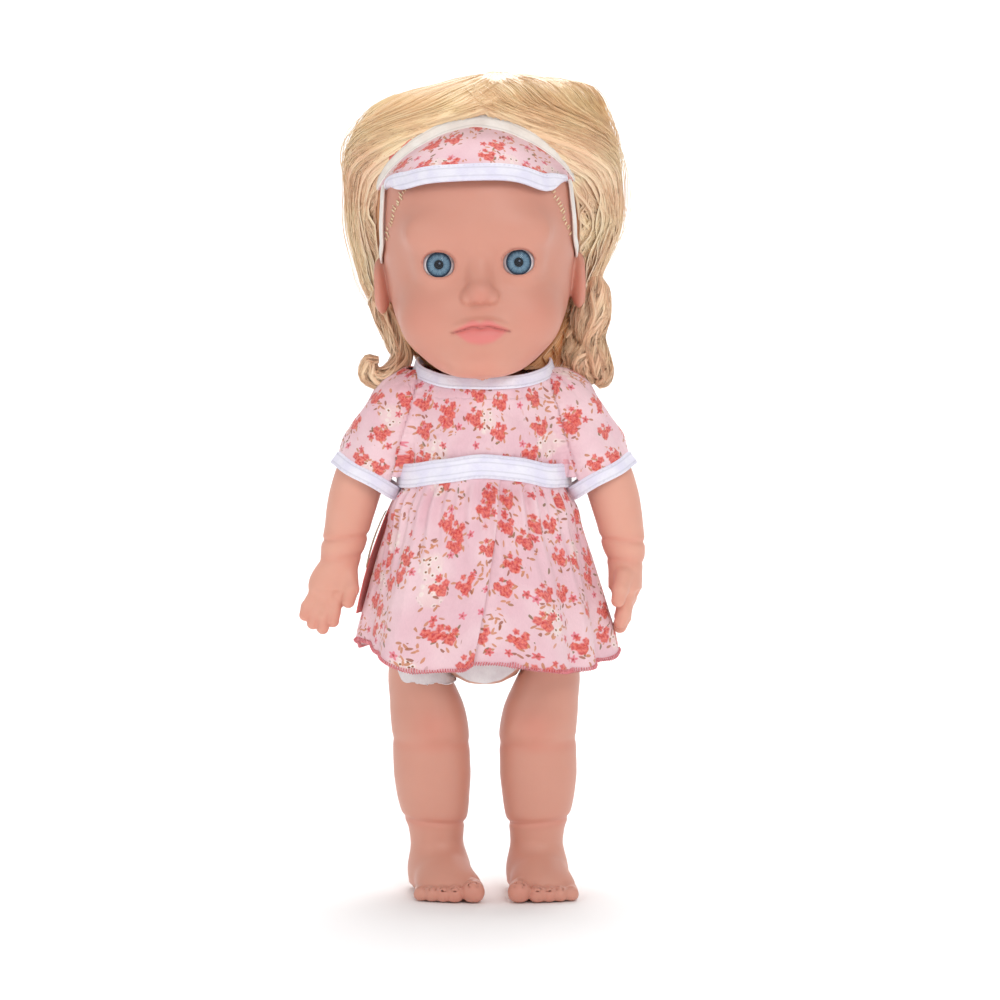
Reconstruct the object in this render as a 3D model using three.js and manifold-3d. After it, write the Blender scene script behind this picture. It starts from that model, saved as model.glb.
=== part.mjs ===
// Interactive baby doll, 350 mm tall, standing. Millimetres, +Z up, the doll faces -Y,
// and +X is the doll's left. The finished group is moved so that the origin is the bottom centre
// of its bounding box.
import * as THREE from 'three';
import { mergeVertices } from 'three/addons/utils/BufferGeometryUtils.js';
import Module from 'manifold-3d';

// ---- Driving dimensions ---------------------------------------------------------------------
const GAP = 0.3; // clearance between pieces that touch
const VINYL = 2.0; // wall of the soft vinyl head, arms and legs
const SHELL = 2.2; // wall of the hard torso
const NECK = { y: 2, holeRadius: 12.9, shaftRadius: 12.4, capRadius: 15.6, floorZ: 227.5 };
const SHOULDER = { x: 27.5, z: 202, radius: 13.5, holeRadius: 7.2, shaftRadius: 6.8 };
const HIP = { x: 21, z: 108, tilt: 25, holeRadius: 7.9, shaftRadius: 7.5 };
const EYE = { x: 17.1, y: -33, z: 267.6, radius: 8.5, irisRadius: 5.1, openingRadius: 6.4 };
const BUTTON = { z: 132, radius: 9 };
const SWITCH = { z: 178, travel: 1.5 };
const CELL = { radius: 5.25, length: 44.5, pitch: 11.2, bottomZ: 120.4, y: 13.6 };
const SPEAKER = { z: 167, radius: 14 };
const WAIST_Z = { bottom: 172.3, top: 187 };
const CUFF = { x: 51.5, z: 177, tilt: 30, radius: 16.5, width: 5 };
const HEM_Z = 99;
const ARMHOLE_X = 27.3;
const SLIVER = 0.08; // facets thinner than this, left by cutting, are merged
const PANTS_TOP = 121;

// Cross-sections are [z, centre x, centre y, half width, half depth].
const TORSO = [
  [90, 0, 0, 8, 12],
  [93, 0, 0, 14, 17],
  [98, 0, 0, 20.5, 21],
  [104, 0, 0, 26, 24],
  [112, 0, 0, 31, 26.5],
  [122, 0, 0, 34, 28.5],
  [136, 0, 0, 35, 29],
  [150, 0, 0, 34, 29],
  [165, 0, 0, 33.3, 28],
  [180, 0, 0, 33, 26.5],
  [192, 0, 0, 33.5, 25],
  [203, 0, 0, 32.5, 23.5],
  [209, 0, 0, 30, 22.5],
  [214, 0, 0, 26.5, 20.5],
  [218, 0, 1, 20, 17],
  [220, 0, 2, 14.5, 14],
];
const HEAD = [
  [219.5, 0, -10, 9, 15],
  [221, 0, -9, 14, 23],
  [225, 0, -6, 20, 29],
  [232, 0, -3, 27, 34],
  [240, 0, 0, 32.5, 38.5],
  [250, 0, 0.5, 37, 42],
  [262, 0, 1, 39.3, 44.5],
  [275, 0, 1, 40.8, 45.5],
  [288, 0, 1, 41, 46],
  [300, 0, 1, 39.5, 44.5],
  [312, 0, 1, 35, 39.5],
  [321, 0, 1, 28, 31.5],
  [327, 0, 1, 19, 21.5],
  [330, 0, 1, 8, 9],
];
const HAIR = [
  [222, 0, 17, 43, 30],
  [235, 0, 14, 47, 39],
  [250, 0, 11, 51, 47],
  [262, 0, 9, 55, 53],
  [275, 0, 7, 58.5, 56.5],
  [290, 0, 6, 59.5, 58],
  [305, 0, 5, 59.5, 58],
  [320, 0, 4, 58, 56],
  [332, 0, 4, 50, 48],
  [341, 0, 4, 38, 36],
  [346, 0, 4, 22, 21],
  [348.5, 0, 4, 8, 8],
];
const UPPER_ARM = [
  [156, 58, 0, 9.7, 10],
  [172, 54.3, 0, 11, 11.5],
  [186, 50.5, 0, 10.6, 12],
  [195, 46, 0, 9.4, 12.5],
  [204, 42.5, 0, 9, 12],
];
const LEG = [
  [6, 22, 2, 11, 12],
  [18, 22.3, 1, 12, 12.5],
  [26, 22.5, 0, 12.5, 13],
  [31, 22.7, 0, 13.8, 14],
  [41, 23, 0, 15.7, 16],
  [51, 23, 0, 16.4, 17],
  [62, 22.8, 0, 15.9, 16.5],
  [68, 22.5, 0, 16.9, 17],
  [79, 22.5, 0, 17.7, 18],
  [90, 25, 0, 15.6, 19],
  [98, 27, 0, 13.2, 19],
  [108, 28.8, 0, 10.6, 18],
  [116, 30, 0, 7.6, 15],
  [121, 30.5, 0, 4, 9],
];
const SKIRT = [
  [HEM_Z, 0, 0, 56.5, 46],
  [110, 0, 0, 54.6, 43.5],
  [120, 0, 0, 52, 41],
  [130, 0, 0, 49.2, 39],
  [141, 0, 0, 46, 37],
  [150, 0, 0, 43.2, 35.5],
  [160, 0, 0, 39.6, 33],
  [168, 0, 0, 36.4, 31],
  [172, 0, 0, 35.6, 30],
];

// ---- Materials ------------------------------------------------------------------------------
const makeMaterial = (color, roughness, metalness = 0) =>
  new THREE.MeshStandardMaterial({ color, roughness, metalness });
const VINYL_SKIN = () => makeMaterial(0xdaa38c, 0.5);
const TORSO_PLASTIC = () => makeMaterial(0xd9b09a, 0.45);
const WHITE_PLASTIC = () => makeMaterial(0xe9e7e3, 0.4);
const BLACK_PLASTIC = () => makeMaterial(0x222324, 0.5);
const PRINT_FABRIC = () => makeMaterial(0xefccd2, 0.9);
const WHITE_FABRIC = () => makeMaterial(0xeeedf2, 0.9);
const HAIR_FIBRE = () => makeMaterial(0xe8c795, 0.6);
const STEEL = () => makeMaterial(0xb9bbbd, 0.3, 1);

// ---- Solids ---------------------------------------------------------------------------------
const wasm = await Module();
wasm.setup();

// A closed three.js geometry as a solid that can be cut and joined, its faces turned outwards.
function solid(geometry) {
  const bare = geometry.clone();
  bare.deleteAttribute('normal');
  bare.deleteAttribute('uv');
  const merged = mergeVertices(bare, 1e-4);
  const points = merged.attributes.position.array;
  const triangles = [];
  let volume = 0;
  const [a, b, c] = [new THREE.Vector3(), new THREE.Vector3(), new THREE.Vector3()];
  for (let t = 0; t < merged.index.count; t += 3) {
    const [i, j, k] = [0, 1, 2].map((n) => merged.index.getX(t + n));
    if (i === j || j === k || k === i) continue;
    triangles.push([i, j, k]);
    a.fromArray(points, 3 * i);
    b.fromArray(points, 3 * j);
    c.fromArray(points, 3 * k);
    volume += a.dot(b.cross(c));
  }
  const outward = volume < 0 ? triangles.map(([i, j, k]) => [i, k, j]) : triangles;
  return new wasm.Manifold(
    new wasm.Mesh({
      numProp: 3,
      vertProperties: new Float32Array(points),
      triVerts: new Uint32Array(outward.flat()),
    }),
  );
}

// A closed body through elliptical cross-sections; move(point) can reshape it.
function loft(sections, segments = 24, move = null) {
  const profile = [new THREE.Vector2(0, 0)];
  sections.forEach((_, i) => profile.push(new THREE.Vector2(1, i)));
  profile.push(new THREE.Vector2(0, sections.length - 1));
  const geometry = new THREE.LatheGeometry(profile, segments);
  const position = geometry.attributes.position;
  const point = new THREE.Vector3();
  for (let i = 0; i < position.count; i += 1) {
    const [z, cx, cy, rx, ry] = sections[Math.round(position.getY(i))];
    point.set(cx + rx * position.getX(i), cy + ry * position.getZ(i), z);
    if (move) move(point);
    position.setXYZ(i, point.x, point.y, point.z);
  }
  return solid(geometry);
}

// The same cross-sections grown by t (or shrunk, if negative), with both ends moved by `ends`.
function grow(sections, t, ends = t) {
  return sections.map(([z, cx, cy, rx, ry], i) => {
    const end = i === 0 ? -ends : i === sections.length - 1 ? ends : 0;
    return [z + end, cx, cy, Math.max(rx + t, 0.5), Math.max(ry + t, 0.5)];
  });
}

// Mirrors cross-sections to the doll's other side.
const onSide = (sections, side) => sections.map(([z, cx, cy, rx, ry]) => [z, side * cx, cy, rx, ry]);

// The cross-section at any height, between two listed ones.
function sectionAt(sections, z) {
  let i = 1;
  while (i < sections.length - 1 && sections[i][0] < z) i += 1;
  const [low, high] = [sections[i - 1], sections[i]];
  const t = (z - low[0]) / (high[0] - low[0]);
  return low.map((value, n) => (n === 0 ? z : value + t * (high[n] - value)));
}

// The part of a list of cross-sections between two heights.
function between(sections, bottom, top) {
  const inside = sections.filter(([z]) => z > bottom + 0.5 && z < top - 0.5);
  return [sectionAt(sections, bottom), ...inside, sectionAt(sections, top)];
}

// Every other cross-section, for the plain insides of hollow pieces.
const thinned = (sections) => sections.filter((_, i) => i % 2 === 0 || i === sections.length - 1);

// A box from two opposite corners.
function box(low, high) {
  const size = low.map((value, n) => high[n] - value);
  const centre = low.map((value, n) => (high[n] + value) / 2);
  return solid(new THREE.BoxGeometry(...size).translate(...centre));
}

// A body turned about an axis, from [radius, distance along the axis] pairs.
function turned(profile, origin, axis, segments = 16) {
  const points = profile.map(([r, s]) => new THREE.Vector2(r, s));
  const geometry = new THREE.LatheGeometry(points, segments);
  const turn = new THREE.Quaternion().setFromUnitVectors(
    new THREE.Vector3(0, 1, 0),
    new THREE.Vector3(...axis).normalize(),
  );
  return solid(geometry.applyQuaternion(turn).translate(...origin));
}

// A cylinder from s0 to s1 along an axis.
const cylinder = (radius, s0, s1, origin, axis, segments = 16) =>
  turned([[0, s0], [radius, s0], [radius, s1], [0, s1]], origin, axis, segments);

// An ellipsoid with its poles along Z.
function ellipsoid(centre, radii, across = 20, up = 12) {
  const geometry = new THREE.SphereGeometry(1, across, up).rotateX(Math.PI / 2);
  return solid(geometry.scale(...radii).translate(...centre));
}

// A round-ended rod between the centres of its two ends.
function rod(from, to, radius) {
  const [a, b] = [new THREE.Vector3(...from), new THREE.Vector3(...to)];
  const along = b.clone().sub(a);
  const turn = new THREE.Quaternion().setFromUnitVectors(
    new THREE.Vector3(0, 1, 0),
    along.clone().normalize(),
  );
  const middle = a.add(b).multiplyScalar(0.5);
  const geometry = new THREE.CapsuleGeometry(radius, along.length(), 2, 6);
  return solid(geometry.applyQuaternion(turn).translate(middle.x, middle.y, middle.z));
}

// Everything on the side of a plane that its normal points to.
function beyond(origin, normal) {
  const geometry = new THREE.BoxGeometry(1000, 1000, 1000).translate(0, 500, 0);
  const turn = new THREE.Quaternion().setFromUnitVectors(
    new THREE.Vector3(0, 1, 0),
    new THREE.Vector3(...normal).normalize(),
  );
  return solid(geometry.applyQuaternion(turn).translate(...origin));
}

const join = (solids) => solids.reduce((whole, next) => whole.add(next));
const along = (origin, axis, s) => origin.map((value, n) => value + axis[n] * s);

const doll = new THREE.Group();
doll.name = 'interactive_baby_doll';

// Adds one finished piece to the doll.
function add(name, piece, material) {
  const { vertProperties, triVerts, numProp } = piece.simplify(SLIVER).getMesh();
  const points = new Float32Array((vertProperties.length / numProp) * 3);
  for (let i = 0; i < points.length / 3; i += 1) {
    for (let n = 0; n < 3; n += 1) points[3 * i + n] = vertProperties[numProp * i + n];
  }
  const geometry = new THREE.BufferGeometry();
  geometry.setAttribute('position', new THREE.BufferAttribute(points, 3));
  geometry.setIndex(new THREE.BufferAttribute(new Uint32Array(triVerts), 1));
  geometry.computeVertexNormals();
  const mesh = new THREE.Mesh(geometry, material);
  mesh.name = name;
  doll.add(mesh);
}

const SIDES = [['left', 1], ['right', -1]]; // the doll's own left is +X
const tiltIn = (side, degrees) => {
  const angle = THREE.MathUtils.degToRad(degrees);
  return [side * Math.cos(angle), 0, -Math.sin(angle)];
};
const hipOrigin = (side) => [side * HIP.x, 0, HIP.z];
const hipAxis = (side) => tiltIn(side, HIP.tilt);
const shoulderOrigin = (side) => [side * SHOULDER.x, 0, SHOULDER.z];
const shoulderAxis = (side) => [side, 0, 0];

// ---- Torso: two hard half shells, screwed together --------------------------------------------
const BOSSES = [[16.5, 196], [26, 137]]; // |x| and z of the four screw bosses
const SCREW = { shank: 1.5, head: 2.7, headY: 10, tipY: -8 };

let torsoSkin = loft(TORSO, 20);
let torsoRoom = loft(grow(thinned(TORSO), -SHELL), 12);
for (const [, side] of SIDES) {
  const [socket, wall] = [shoulderOrigin(side), -SHELL];
  torsoSkin = torsoSkin.subtract(cylinder(SHOULDER.radius + 1, 0, 30, socket, shoulderAxis(side)));
  torsoRoom = torsoRoom.subtract(cylinder(SHOULDER.radius + 3, wall, 30, socket, shoulderAxis(side)));
  torsoSkin = torsoSkin.subtract(beyond(along(hipOrigin(side), hipAxis(side), -0.25), hipAxis(side)));
  torsoRoom = torsoRoom.subtract(beyond(along(hipOrigin(side), hipAxis(side), -2.5), hipAxis(side)));
}
let torso = torsoSkin.subtract(torsoRoom);
for (const [, side] of SIDES) {
  torso = torso.subtract(cylinder(SHOULDER.holeRadius, -5, 5, shoulderOrigin(side), shoulderAxis(side)));
  torso = torso.subtract(cylinder(HIP.holeRadius, -6, 5, hipOrigin(side), hipAxis(side)));
}
torso = torso.subtract(cylinder(NECK.shaftRadius + 0.4, 210, 225, [0, NECK.y, 0], [0, 0, 1]));

let frontShell = torso.subtract(beyond([0, -GAP / 2, 0], [0, 1, 0]));
let backShell = torso.subtract(beyond([0, GAP / 2, 0], [0, -1, 0]));
for (const [, side] of SIDES) {
  for (const [x, z] of BOSSES) {
    const at = [side * x, 0, z];
    const backBoss = cylinder(3.8, GAP / 2, 30, at, [0, 1, 0], 8).intersect(torsoSkin);
    const frontBoss = cylinder(3.2, GAP / 2, 30, at, [0, -1, 0], 8).intersect(torsoSkin);
    backShell = backShell.add(backBoss);
    backShell = backShell.subtract(cylinder(SCREW.shank + GAP, -1, 40, at, [0, 1, 0], 8));
    backShell = backShell.subtract(cylinder(SCREW.head + GAP, SCREW.headY, 40, at, [0, 1, 0], 8));
    frontShell = frontShell.add(frontBoss);
    frontShell = frontShell.subtract(cylinder(SCREW.shank + GAP, -1, 9, at, [0, -1, 0], 8));
  }
}

// Speaker holes in the chest, and the hole for the belly button.
for (const [ring, count] of [[0, 1], [5, 6]]) {
  for (let i = 0; i < count; i += 1) {
    const angle = (2 * Math.PI * i) / count;
    const at = [ring * Math.cos(angle), 0, SPEAKER.z + ring * Math.sin(angle)];
    frontShell = frontShell.subtract(cylinder(1.2, 20, 40, at, [0, -1, 0], 6));
  }
}
frontShell = frontShell.subtract(cylinder(BUTTON.radius + 0.4, 20, 40, [0, 0, BUTTON.z], [0, -1, 0]));

// The battery opening in the back, its door, and the slot for the on/off switch.
const DOOR = { x: 19, bottom: 118, top: 170 };
const door = torso.intersect(
  box([-DOOR.x + GAP, 23, DOOR.bottom + GAP], [DOOR.x - GAP, 40, DOOR.top - GAP]),
);
backShell = backShell.subtract(box([-DOOR.x, 10, DOOR.bottom], [DOOR.x, 40, DOOR.top]));
const slot = box(
  [-1.6 - SWITCH.travel - 0.4, 10, SWITCH.z - 1.9],
  [1.6 + SWITCH.travel + 0.4, 40, SWITCH.z + 1.9],
);
backShell = backShell.subtract(slot);

add('torso_front_shell', frontShell, TORSO_PLASTIC());
add('torso_back_shell', backShell, TORSO_PLASTIC());
add('battery_door', door.subtract(cylinder(1.5, 10, 40, [0, 0, 166], [0, 1, 0], 12)), TORSO_PLASTIC());

let screwNumber = 0;
for (const [, side] of SIDES) {
  for (const [x, z] of BOSSES) {
    screwNumber += 1;
    const { shank, head, headY, tipY } = SCREW;
    const profile = [
      [0, tipY],
      [shank, tipY + 2],
      [shank, headY + GAP],
      [head, headY + GAP],
      [head, headY + 2],
      [0, headY + 2],
    ];
    add(`torso_screw_${screwNumber}`, turned(profile, [side * x, 0, z], [0, 1, 0], 10), STEEL());
  }
}

// ---- Inside the torso -------------------------------------------------------------------------
const cellTop = CELL.bottomZ + CELL.length;
const trayX = 1.5 * CELL.pitch + 1.3;
const tray = box([-trayX, 6.6, CELL.bottomZ - 2.9], [trayX, 19, cellTop + 2.9]).subtract(
  box([-trayX + 1.3, 8, CELL.bottomZ - 1.6], [trayX - 1.3, 22, cellTop + 1.6]),
);
add('battery_tray', tray, BLACK_PLASTIC());
for (let i = 0; i < 3; i += 1) {
  const at = [(i - 1) * CELL.pitch, CELL.y, CELL.bottomZ];
  const { radius, length } = CELL;
  const profile = [
    [0, 0],
    [radius, 0],
    [radius, length - 1],
    [1.9, length - 1],
    [1.9, length],
    [0, length],
  ];
  add(`battery_${i + 1}`, turned(profile, at, [0, 0, 1], 12), makeMaterial(0x3a5f8a, 0.35, 0.4));
}
const plateX = trayX - 1.3 - GAP;
for (const [name, z] of [['top', cellTop + 0.3], ['bottom', CELL.bottomZ - 1.2]]) {
  add(`contact_plate_${name}`, box([-plateX, 8.4, z], [plateX, 18.8, z + 0.8]), STEEL());
}
add(
  'battery_door_screw',
  turned(
    [[0, 20.4], [1.2, 21.2], [1.2, 28.3], [2.4, 28.3], [2.4, 29.1], [0, 29.4]],
    [0, 0, 166],
    [0, 1, 0],
    10,
  ),
  STEEL(),
);

add(
  'push_button',
  turned(
    [
      [0, 22.2],
      [10.2, 22.2],
      [10.2, 23.4],
      [BUTTON.radius, 23.4],
      [BUTTON.radius, 29.8],
      [8, 30.6],
      [0, 30.8],
    ],
    [0, 0, BUTTON.z],
    [0, -1, 0],
  ),
  makeMaterial(0xe77f95, 0.4),
);
add(
  'button_spring',
  cylinder(4.6, 18.4, 21.9, [0, 0, BUTTON.z], [0, -1, 0], 16).subtract(
    cylinder(3.4, 17, 25, [0, 0, BUTTON.z], [0, -1, 0], 16),
  ),
  STEEL(),
);
add('circuit_board', box([-17, -18.1, 118], [17, -16.5, 148]), makeMaterial(0x2f6b3f, 0.5));
add('sound_chip', box([-8, -16.2, 127], [8, -13.4, 139]), BLACK_PLASTIC());

const speakerAt = [0, 0, SPEAKER.z];
add(
  'speaker_frame',
  turned(
    [
      [11.6, 21.9],
      [SPEAKER.radius, 21.9],
      [SPEAKER.radius, 19.8],
      [8.6, 12],
      [5.4, 12],
      [5.4, 13.4],
      [11.6, 19.4],
      [11.6, 21.9],
    ],
    speakerAt,
    [0, -1, 0],
  ),
  STEEL(),
);
add(
  'speaker_cone',
  turned(
    [[0, 14.8], [4.4, 14.8], [11.2, 20.8], [11.2, 21.6], [4.2, 15.8], [0, 15.8]],
    speakerAt,
    [0, -1, 0],
  ),
  BLACK_PLASTIC(),
);
add('speaker_magnet', cylinder(8, 6.9, 11.6, speakerAt, [0, -1, 0], 20), STEEL());

const sliderBody = box([-3, 20.4, SWITCH.z - 2.6], [3, 22, SWITCH.z + 2.6]);
const sliderKnob = box([-1.6, 22, SWITCH.z - 1.4], [1.6, 27, SWITCH.z + 1.4]);
add('switch_slider', sliderBody.add(sliderKnob), BLACK_PLASTIC());
add(
  'switch_housing',
  box([-6.6, 16, SWITCH.z - 4], [6.6, 22.2, SWITCH.z + 4]).subtract(
    box([-5, 20, SWITCH.z - 3], [5, 24, SWITCH.z + 3]),
  ),
  WHITE_PLASTIC(),
);

// ---- Neck, shoulder and hip joints ------------------------------------------------------------
const capZ = NECK.floorZ + 2.6 + 0.4;
add(
  'neck_plug',
  turned(
    [
      [0, 211.4],
      [15, 211.4],
      [15, 213],
      [NECK.shaftRadius, 213],
      [NECK.shaftRadius, capZ],
      [NECK.capRadius, capZ],
      [NECK.capRadius - 1, capZ + 2.4],
      [0, capZ + 2.6],
    ],
    [0, NECK.y, 0],
    [0, 0, 1],
  ),
  TORSO_PLASTIC(),
);
for (const [name, side] of SIDES) {
  const { shaftRadius } = SHOULDER;
  const profile = [
    [0, -4.4],
    [9.2, -4.4],
    [9.2, -2.7],
    [shaftRadius, -2.7],
    [shaftRadius, 2.9],
    [10.4, 2.9],
    [10.4, 4.6],
    [0, 4.6],
  ];
  const hub = turned(profile, shoulderOrigin(side), shoulderAxis(side), 20);
  add(`shoulder_hub_${name}`, hub, WHITE_PLASTIC());
}
for (const [name, side] of SIDES) {
  const { shaftRadius } = HIP;
  const profile = [
    [0, -4.6],
    [10.2, -4.6],
    [10.2, -2.9],
    [shaftRadius, -2.9],
    [shaftRadius, 2.9],
    [10.2, 2.9],
    [10.2, 4.6],
    [0, 4.6],
  ];
  add(`hip_hub_${name}`, turned(profile, hipOrigin(side), hipAxis(side), 20), WHITE_PLASTIC());
}

// ---- Arms -------------------------------------------------------------------------------------
// Fingers run from knuckle to tip. The doll's right hand turns its back to the front, with spread
// fingers, and the left hand turns its thumb side to the front.
const HANDS = {
  right: {
    arm: [[134, 62.8, 0, 7.8, 7], [141.6, 61.2, 0, 8.1, 8], [148, 59.8, 0, 8.9, 9], ...UPPER_ARM],
    palm: [[64.5, -1, 129], [10.5, 6, 10.5]],
    fingers: [
      [[71, -2, 124], [74.2, -3, 117.4], 3.1],
      [[67.4, -2, 121], [69, -3, 114.2], 3.2],
      [[63.4, -2, 121], [63, -3, 113.6], 3.3],
      [[59.6, -2, 123], [58, -3, 117], 3.2],
      [[56.4, -3, 134], [54, -6, 127], 3.4],
    ],
  },
  left: {
    arm: [[134, 60, 0, 5.8, 8], [141.6, 60.2, 0, 7.2, 8.2], [148, 59.4, 0, 8.7, 9], ...UPPER_ARM],
    palm: [[59.8, 0, 129], [5.4, 10, 10.5]],
    fingers: [
      [[59.4, 6, 123], [58.6, 7.6, 117], 3],
      [[59.4, 2, 121.4], [58.4, 2.6, 114.6], 3.2],
      [[59.4, -2, 121.4], [58.4, -2.4, 113.8], 3.2],
      [[59.4, -6, 123], [58.6, -7.4, 116.4], 3.1],
      [[58.4, -9, 133], [56.8, -12.6, 126], 3.4],
    ],
  },
};
const shoulderDome = (t) => [
  [0, GAP - t],
  [SHOULDER.radius + t, GAP - t],
  [SHOULDER.radius + t, 12],
  [11.5 + t, 18],
  [8.5 + t, 22.4],
  [4 + t / 2, 25 + t],
  [0, 25.6 + t],
];
for (const [name, side] of SIDES) {
  const hand = HANDS[name];
  const [origin, axis] = [shoulderOrigin(side), shoulderAxis(side)];
  const flip = ([x, y, z]) => [side * x, y, z];
  const outside = join([
    turned(shoulderDome(0), origin, axis, 16),
    loft(onSide(hand.arm, side), 14),
    ellipsoid(flip(hand.palm[0]), hand.palm[1], 10, 6),
    ...hand.fingers.map(([from, to, radius]) => rod(flip(from), flip(to), radius)),
  ]);
  const room = turned(shoulderDome(-VINYL - GAP), origin, axis, 10).add(
    loft(onSide(grow(hand.arm.slice(1), -VINYL, -1), side), 10),
  );
  const mouth = cylinder(SHOULDER.holeRadius, -1, 4, origin, axis, 16);
  add(`arm_${name}`, outside.subtract(room).subtract(mouth), VINYL_SKIN());
}

// ---- Legs and feet ----------------------------------------------------------------------------
const FEET = { left: { heel: 22.6, ball: 24.6 }, right: { heel: 20.8, ball: 16.6 } }; // |x|
for (const [name, side] of SIDES) {
  const { heel, ball } = FEET[name];
  const foot = [
    ellipsoid([side * heel, 6, 8.5], [12.6, 14, 13], 12, 6),
    ellipsoid([side * (heel + ball) * 0.5, -8, 8], [13.2, 18, 13.5], 12, 6),
    ellipsoid([side * ball, -19, 5.5], [14.6, 14, 10], 12, 6),
  ];
  for (let toe = 0; toe < 5; toe += 1) {
    const x = side * (ball - 10.4 + 5.1 * toe + (toe ? 1 : 0));
    const radius = toe ? 3.2 : 4.4;
    foot.push(ellipsoid([x, -31 + 1.5 * toe, radius - 0.6], [radius, radius + 0.8, radius], 7, 4));
  }
  const inwards = hipAxis(side).map((value) => -value);
  const outside = join([loft(onSide(LEG, side), 16), ...foot])
    .subtract(beyond([0, 0, 0], [0, 0, -1]))
    .subtract(beyond(along(hipOrigin(side), hipAxis(side), 0.25), inwards));
  const room = loft(onSide(grow(thinned(LEG.slice(1)), -VINYL, -1), side), 10).subtract(
    beyond(along(hipOrigin(side), hipAxis(side), 2.5), inwards),
  );
  const plugRoom = cylinder(10.8, 2.5, 5, hipOrigin(side), hipAxis(side), 16);
  const mouth = cylinder(HIP.holeRadius, -1, 4, hipOrigin(side), hipAxis(side), 16);
  const leg = outside.subtract(room).subtract(plugRoom).subtract(mouth);
  add(`leg_${name}`, leg, VINYL_SKIN());
}

// ---- Underpants and dress -----------------------------------------------------------------------
// The cloth pieces follow the torso, each a thin skin between two sizes of it.
function skin(sections, inner, outer, ends = 3) {
  return loft(grow(sections, outer, 0), 20).subtract(loft(grow(sections, inner, ends), 20));
}

const pelvis = between(TORSO, 90, PANTS_TOP);
const pantsOutside = loft(grow(pelvis, 2, 0).map((s, i) => (i ? s : [s[0] - 2, ...s.slice(1)])), 24);
const pantsInside = loft(
  grow(between(TORSO, 90, PANTS_TOP + 3), 0.8, 0).map((s, i) => (i ? s : [s[0] - 0.8, ...s.slice(1)])),
  32,
);
let pants = pantsOutside.subtract(pantsInside);
for (const [, side] of SIDES) {
  pants = pants.subtract(beyond(along(hipOrigin(side), hipAxis(side), -0.35), hipAxis(side)));
}
add('panties', pants, WHITE_FABRIC());

// The neckline slopes down to the front.
const NECKLINE = { z: 216.4, slope: 0.2, height: 5.6, rx: 29, ry: 25 };
const sloped = (point) => {
  point.z += NECKLINE.slope * point.y;
};
const neckRing = (t, bottom, top) =>
  loft(
    [bottom, top].map((z) => [z, 0, 0, NECKLINE.rx + t, NECKLINE.ry + t]),
    32,
    sloped,
  );
const collar = neckRing(0, NECKLINE.z, NECKLINE.z + NECKLINE.height).subtract(
  neckRing(-1.6, NECKLINE.z - 1, NECKLINE.z + NECKLINE.height + 1),
);
add('collar_binding', collar, WHITE_FABRIC());

const upper = between(TORSO, WAIST_Z.top + 0.4, 217);
let bodice = skin(upper, 1, 2.4).subtract(neckRing(20, NECKLINE.z - 0.5, NECKLINE.z + 40));
for (const [, side] of SIDES) {
  const armhole = [side * ARMHOLE_X, 0, 0];
  bodice = bodice.subtract(beyond(armhole, [side, 0, 0]));
}
const backOpening = box([-0.6, 5, 100], [0.6, 60, 230]);
bodice = bodice.subtract(backOpening);
add('dress_bodice', bodice, PRINT_FABRIC());

const waist = between(TORSO, WAIST_Z.bottom + 0.3, WAIST_Z.top);
add('waistband', skin(waist, 0.8, 2.6).subtract(backOpening), WHITE_FABRIC());

const skirt = loft(SKIRT, 24).subtract(loft(grow(SKIRT, -1.5, 2), 24));
for (const [name, side] of SIDES) {
  add(`skirt_${name}`, skirt.subtract(beyond([side * 0.25, 0, 0], [-side, 0, 0])), PRINT_FABRIC());
}
add('back_closure', box([-8, 27.9, 190], [8, 29.1, 204]), WHITE_FABRIC());

// Sleeves are short and full, and end in a white binding.
const cuffAxis = (side) => {
  const angle = THREE.MathUtils.degToRad(CUFF.tilt);
  return [-side * Math.sin(angle), 0, Math.cos(angle)];
};
const PUFF = [[16, 0.4], [17.6, 6], [18.8, 12], [19.2, 20], [18.3, 28], [16.2, 35.5], [12.4, 42], [9, 46.5]];
const PUFF_END = PUFF[PUFF.length - 1][1];
const puff = (t) => [
  [0, t < 0 ? -6 : 0.4],
  ...PUFF.map(([r, s]) => [r + t, Math.min(s, PUFF_END + t)]),
  [0, PUFF_END + t],
];
const [cuffOrigin, sleeveAxis] = [[-CUFF.x, 0, CUFF.z], cuffAxis(-1)];
const bodySide = join([
  loft(grow(between(TORSO, 150, 218), 2.8, 0), 24),
  neckRing(GAP, NECKLINE.z - 30, NECKLINE.z + 30),
  box([-ARMHOLE_X - GAP, -40, 160], [ARMHOLE_X + GAP, 40, 250]),
]);
const sleeve = turned(puff(0), cuffOrigin, sleeveAxis, 18)
  .subtract(turned(puff(-1.4), cuffOrigin, sleeveAxis, 18))
  .subtract(bodySide);
add('sleeve_right', sleeve, PRINT_FABRIC());
add('sleeve_left', sleeve.mirror([1, 0, 0]), PRINT_FABRIC());
for (const [name, side] of SIDES) {
  const [origin, axis] = [[side * CUFF.x, 0, CUFF.z], cuffAxis(side)];
  const { radius, width } = CUFF;
  const profile = [
    [radius - 1.7, 0],
    [radius, 0],
    [radius, -width],
    [radius - 1.7, -width],
    [radius - 1.7, 0],
  ];
  add(`cuff_${name}`, turned(profile, origin, axis), WHITE_FABRIC());
}

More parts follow.
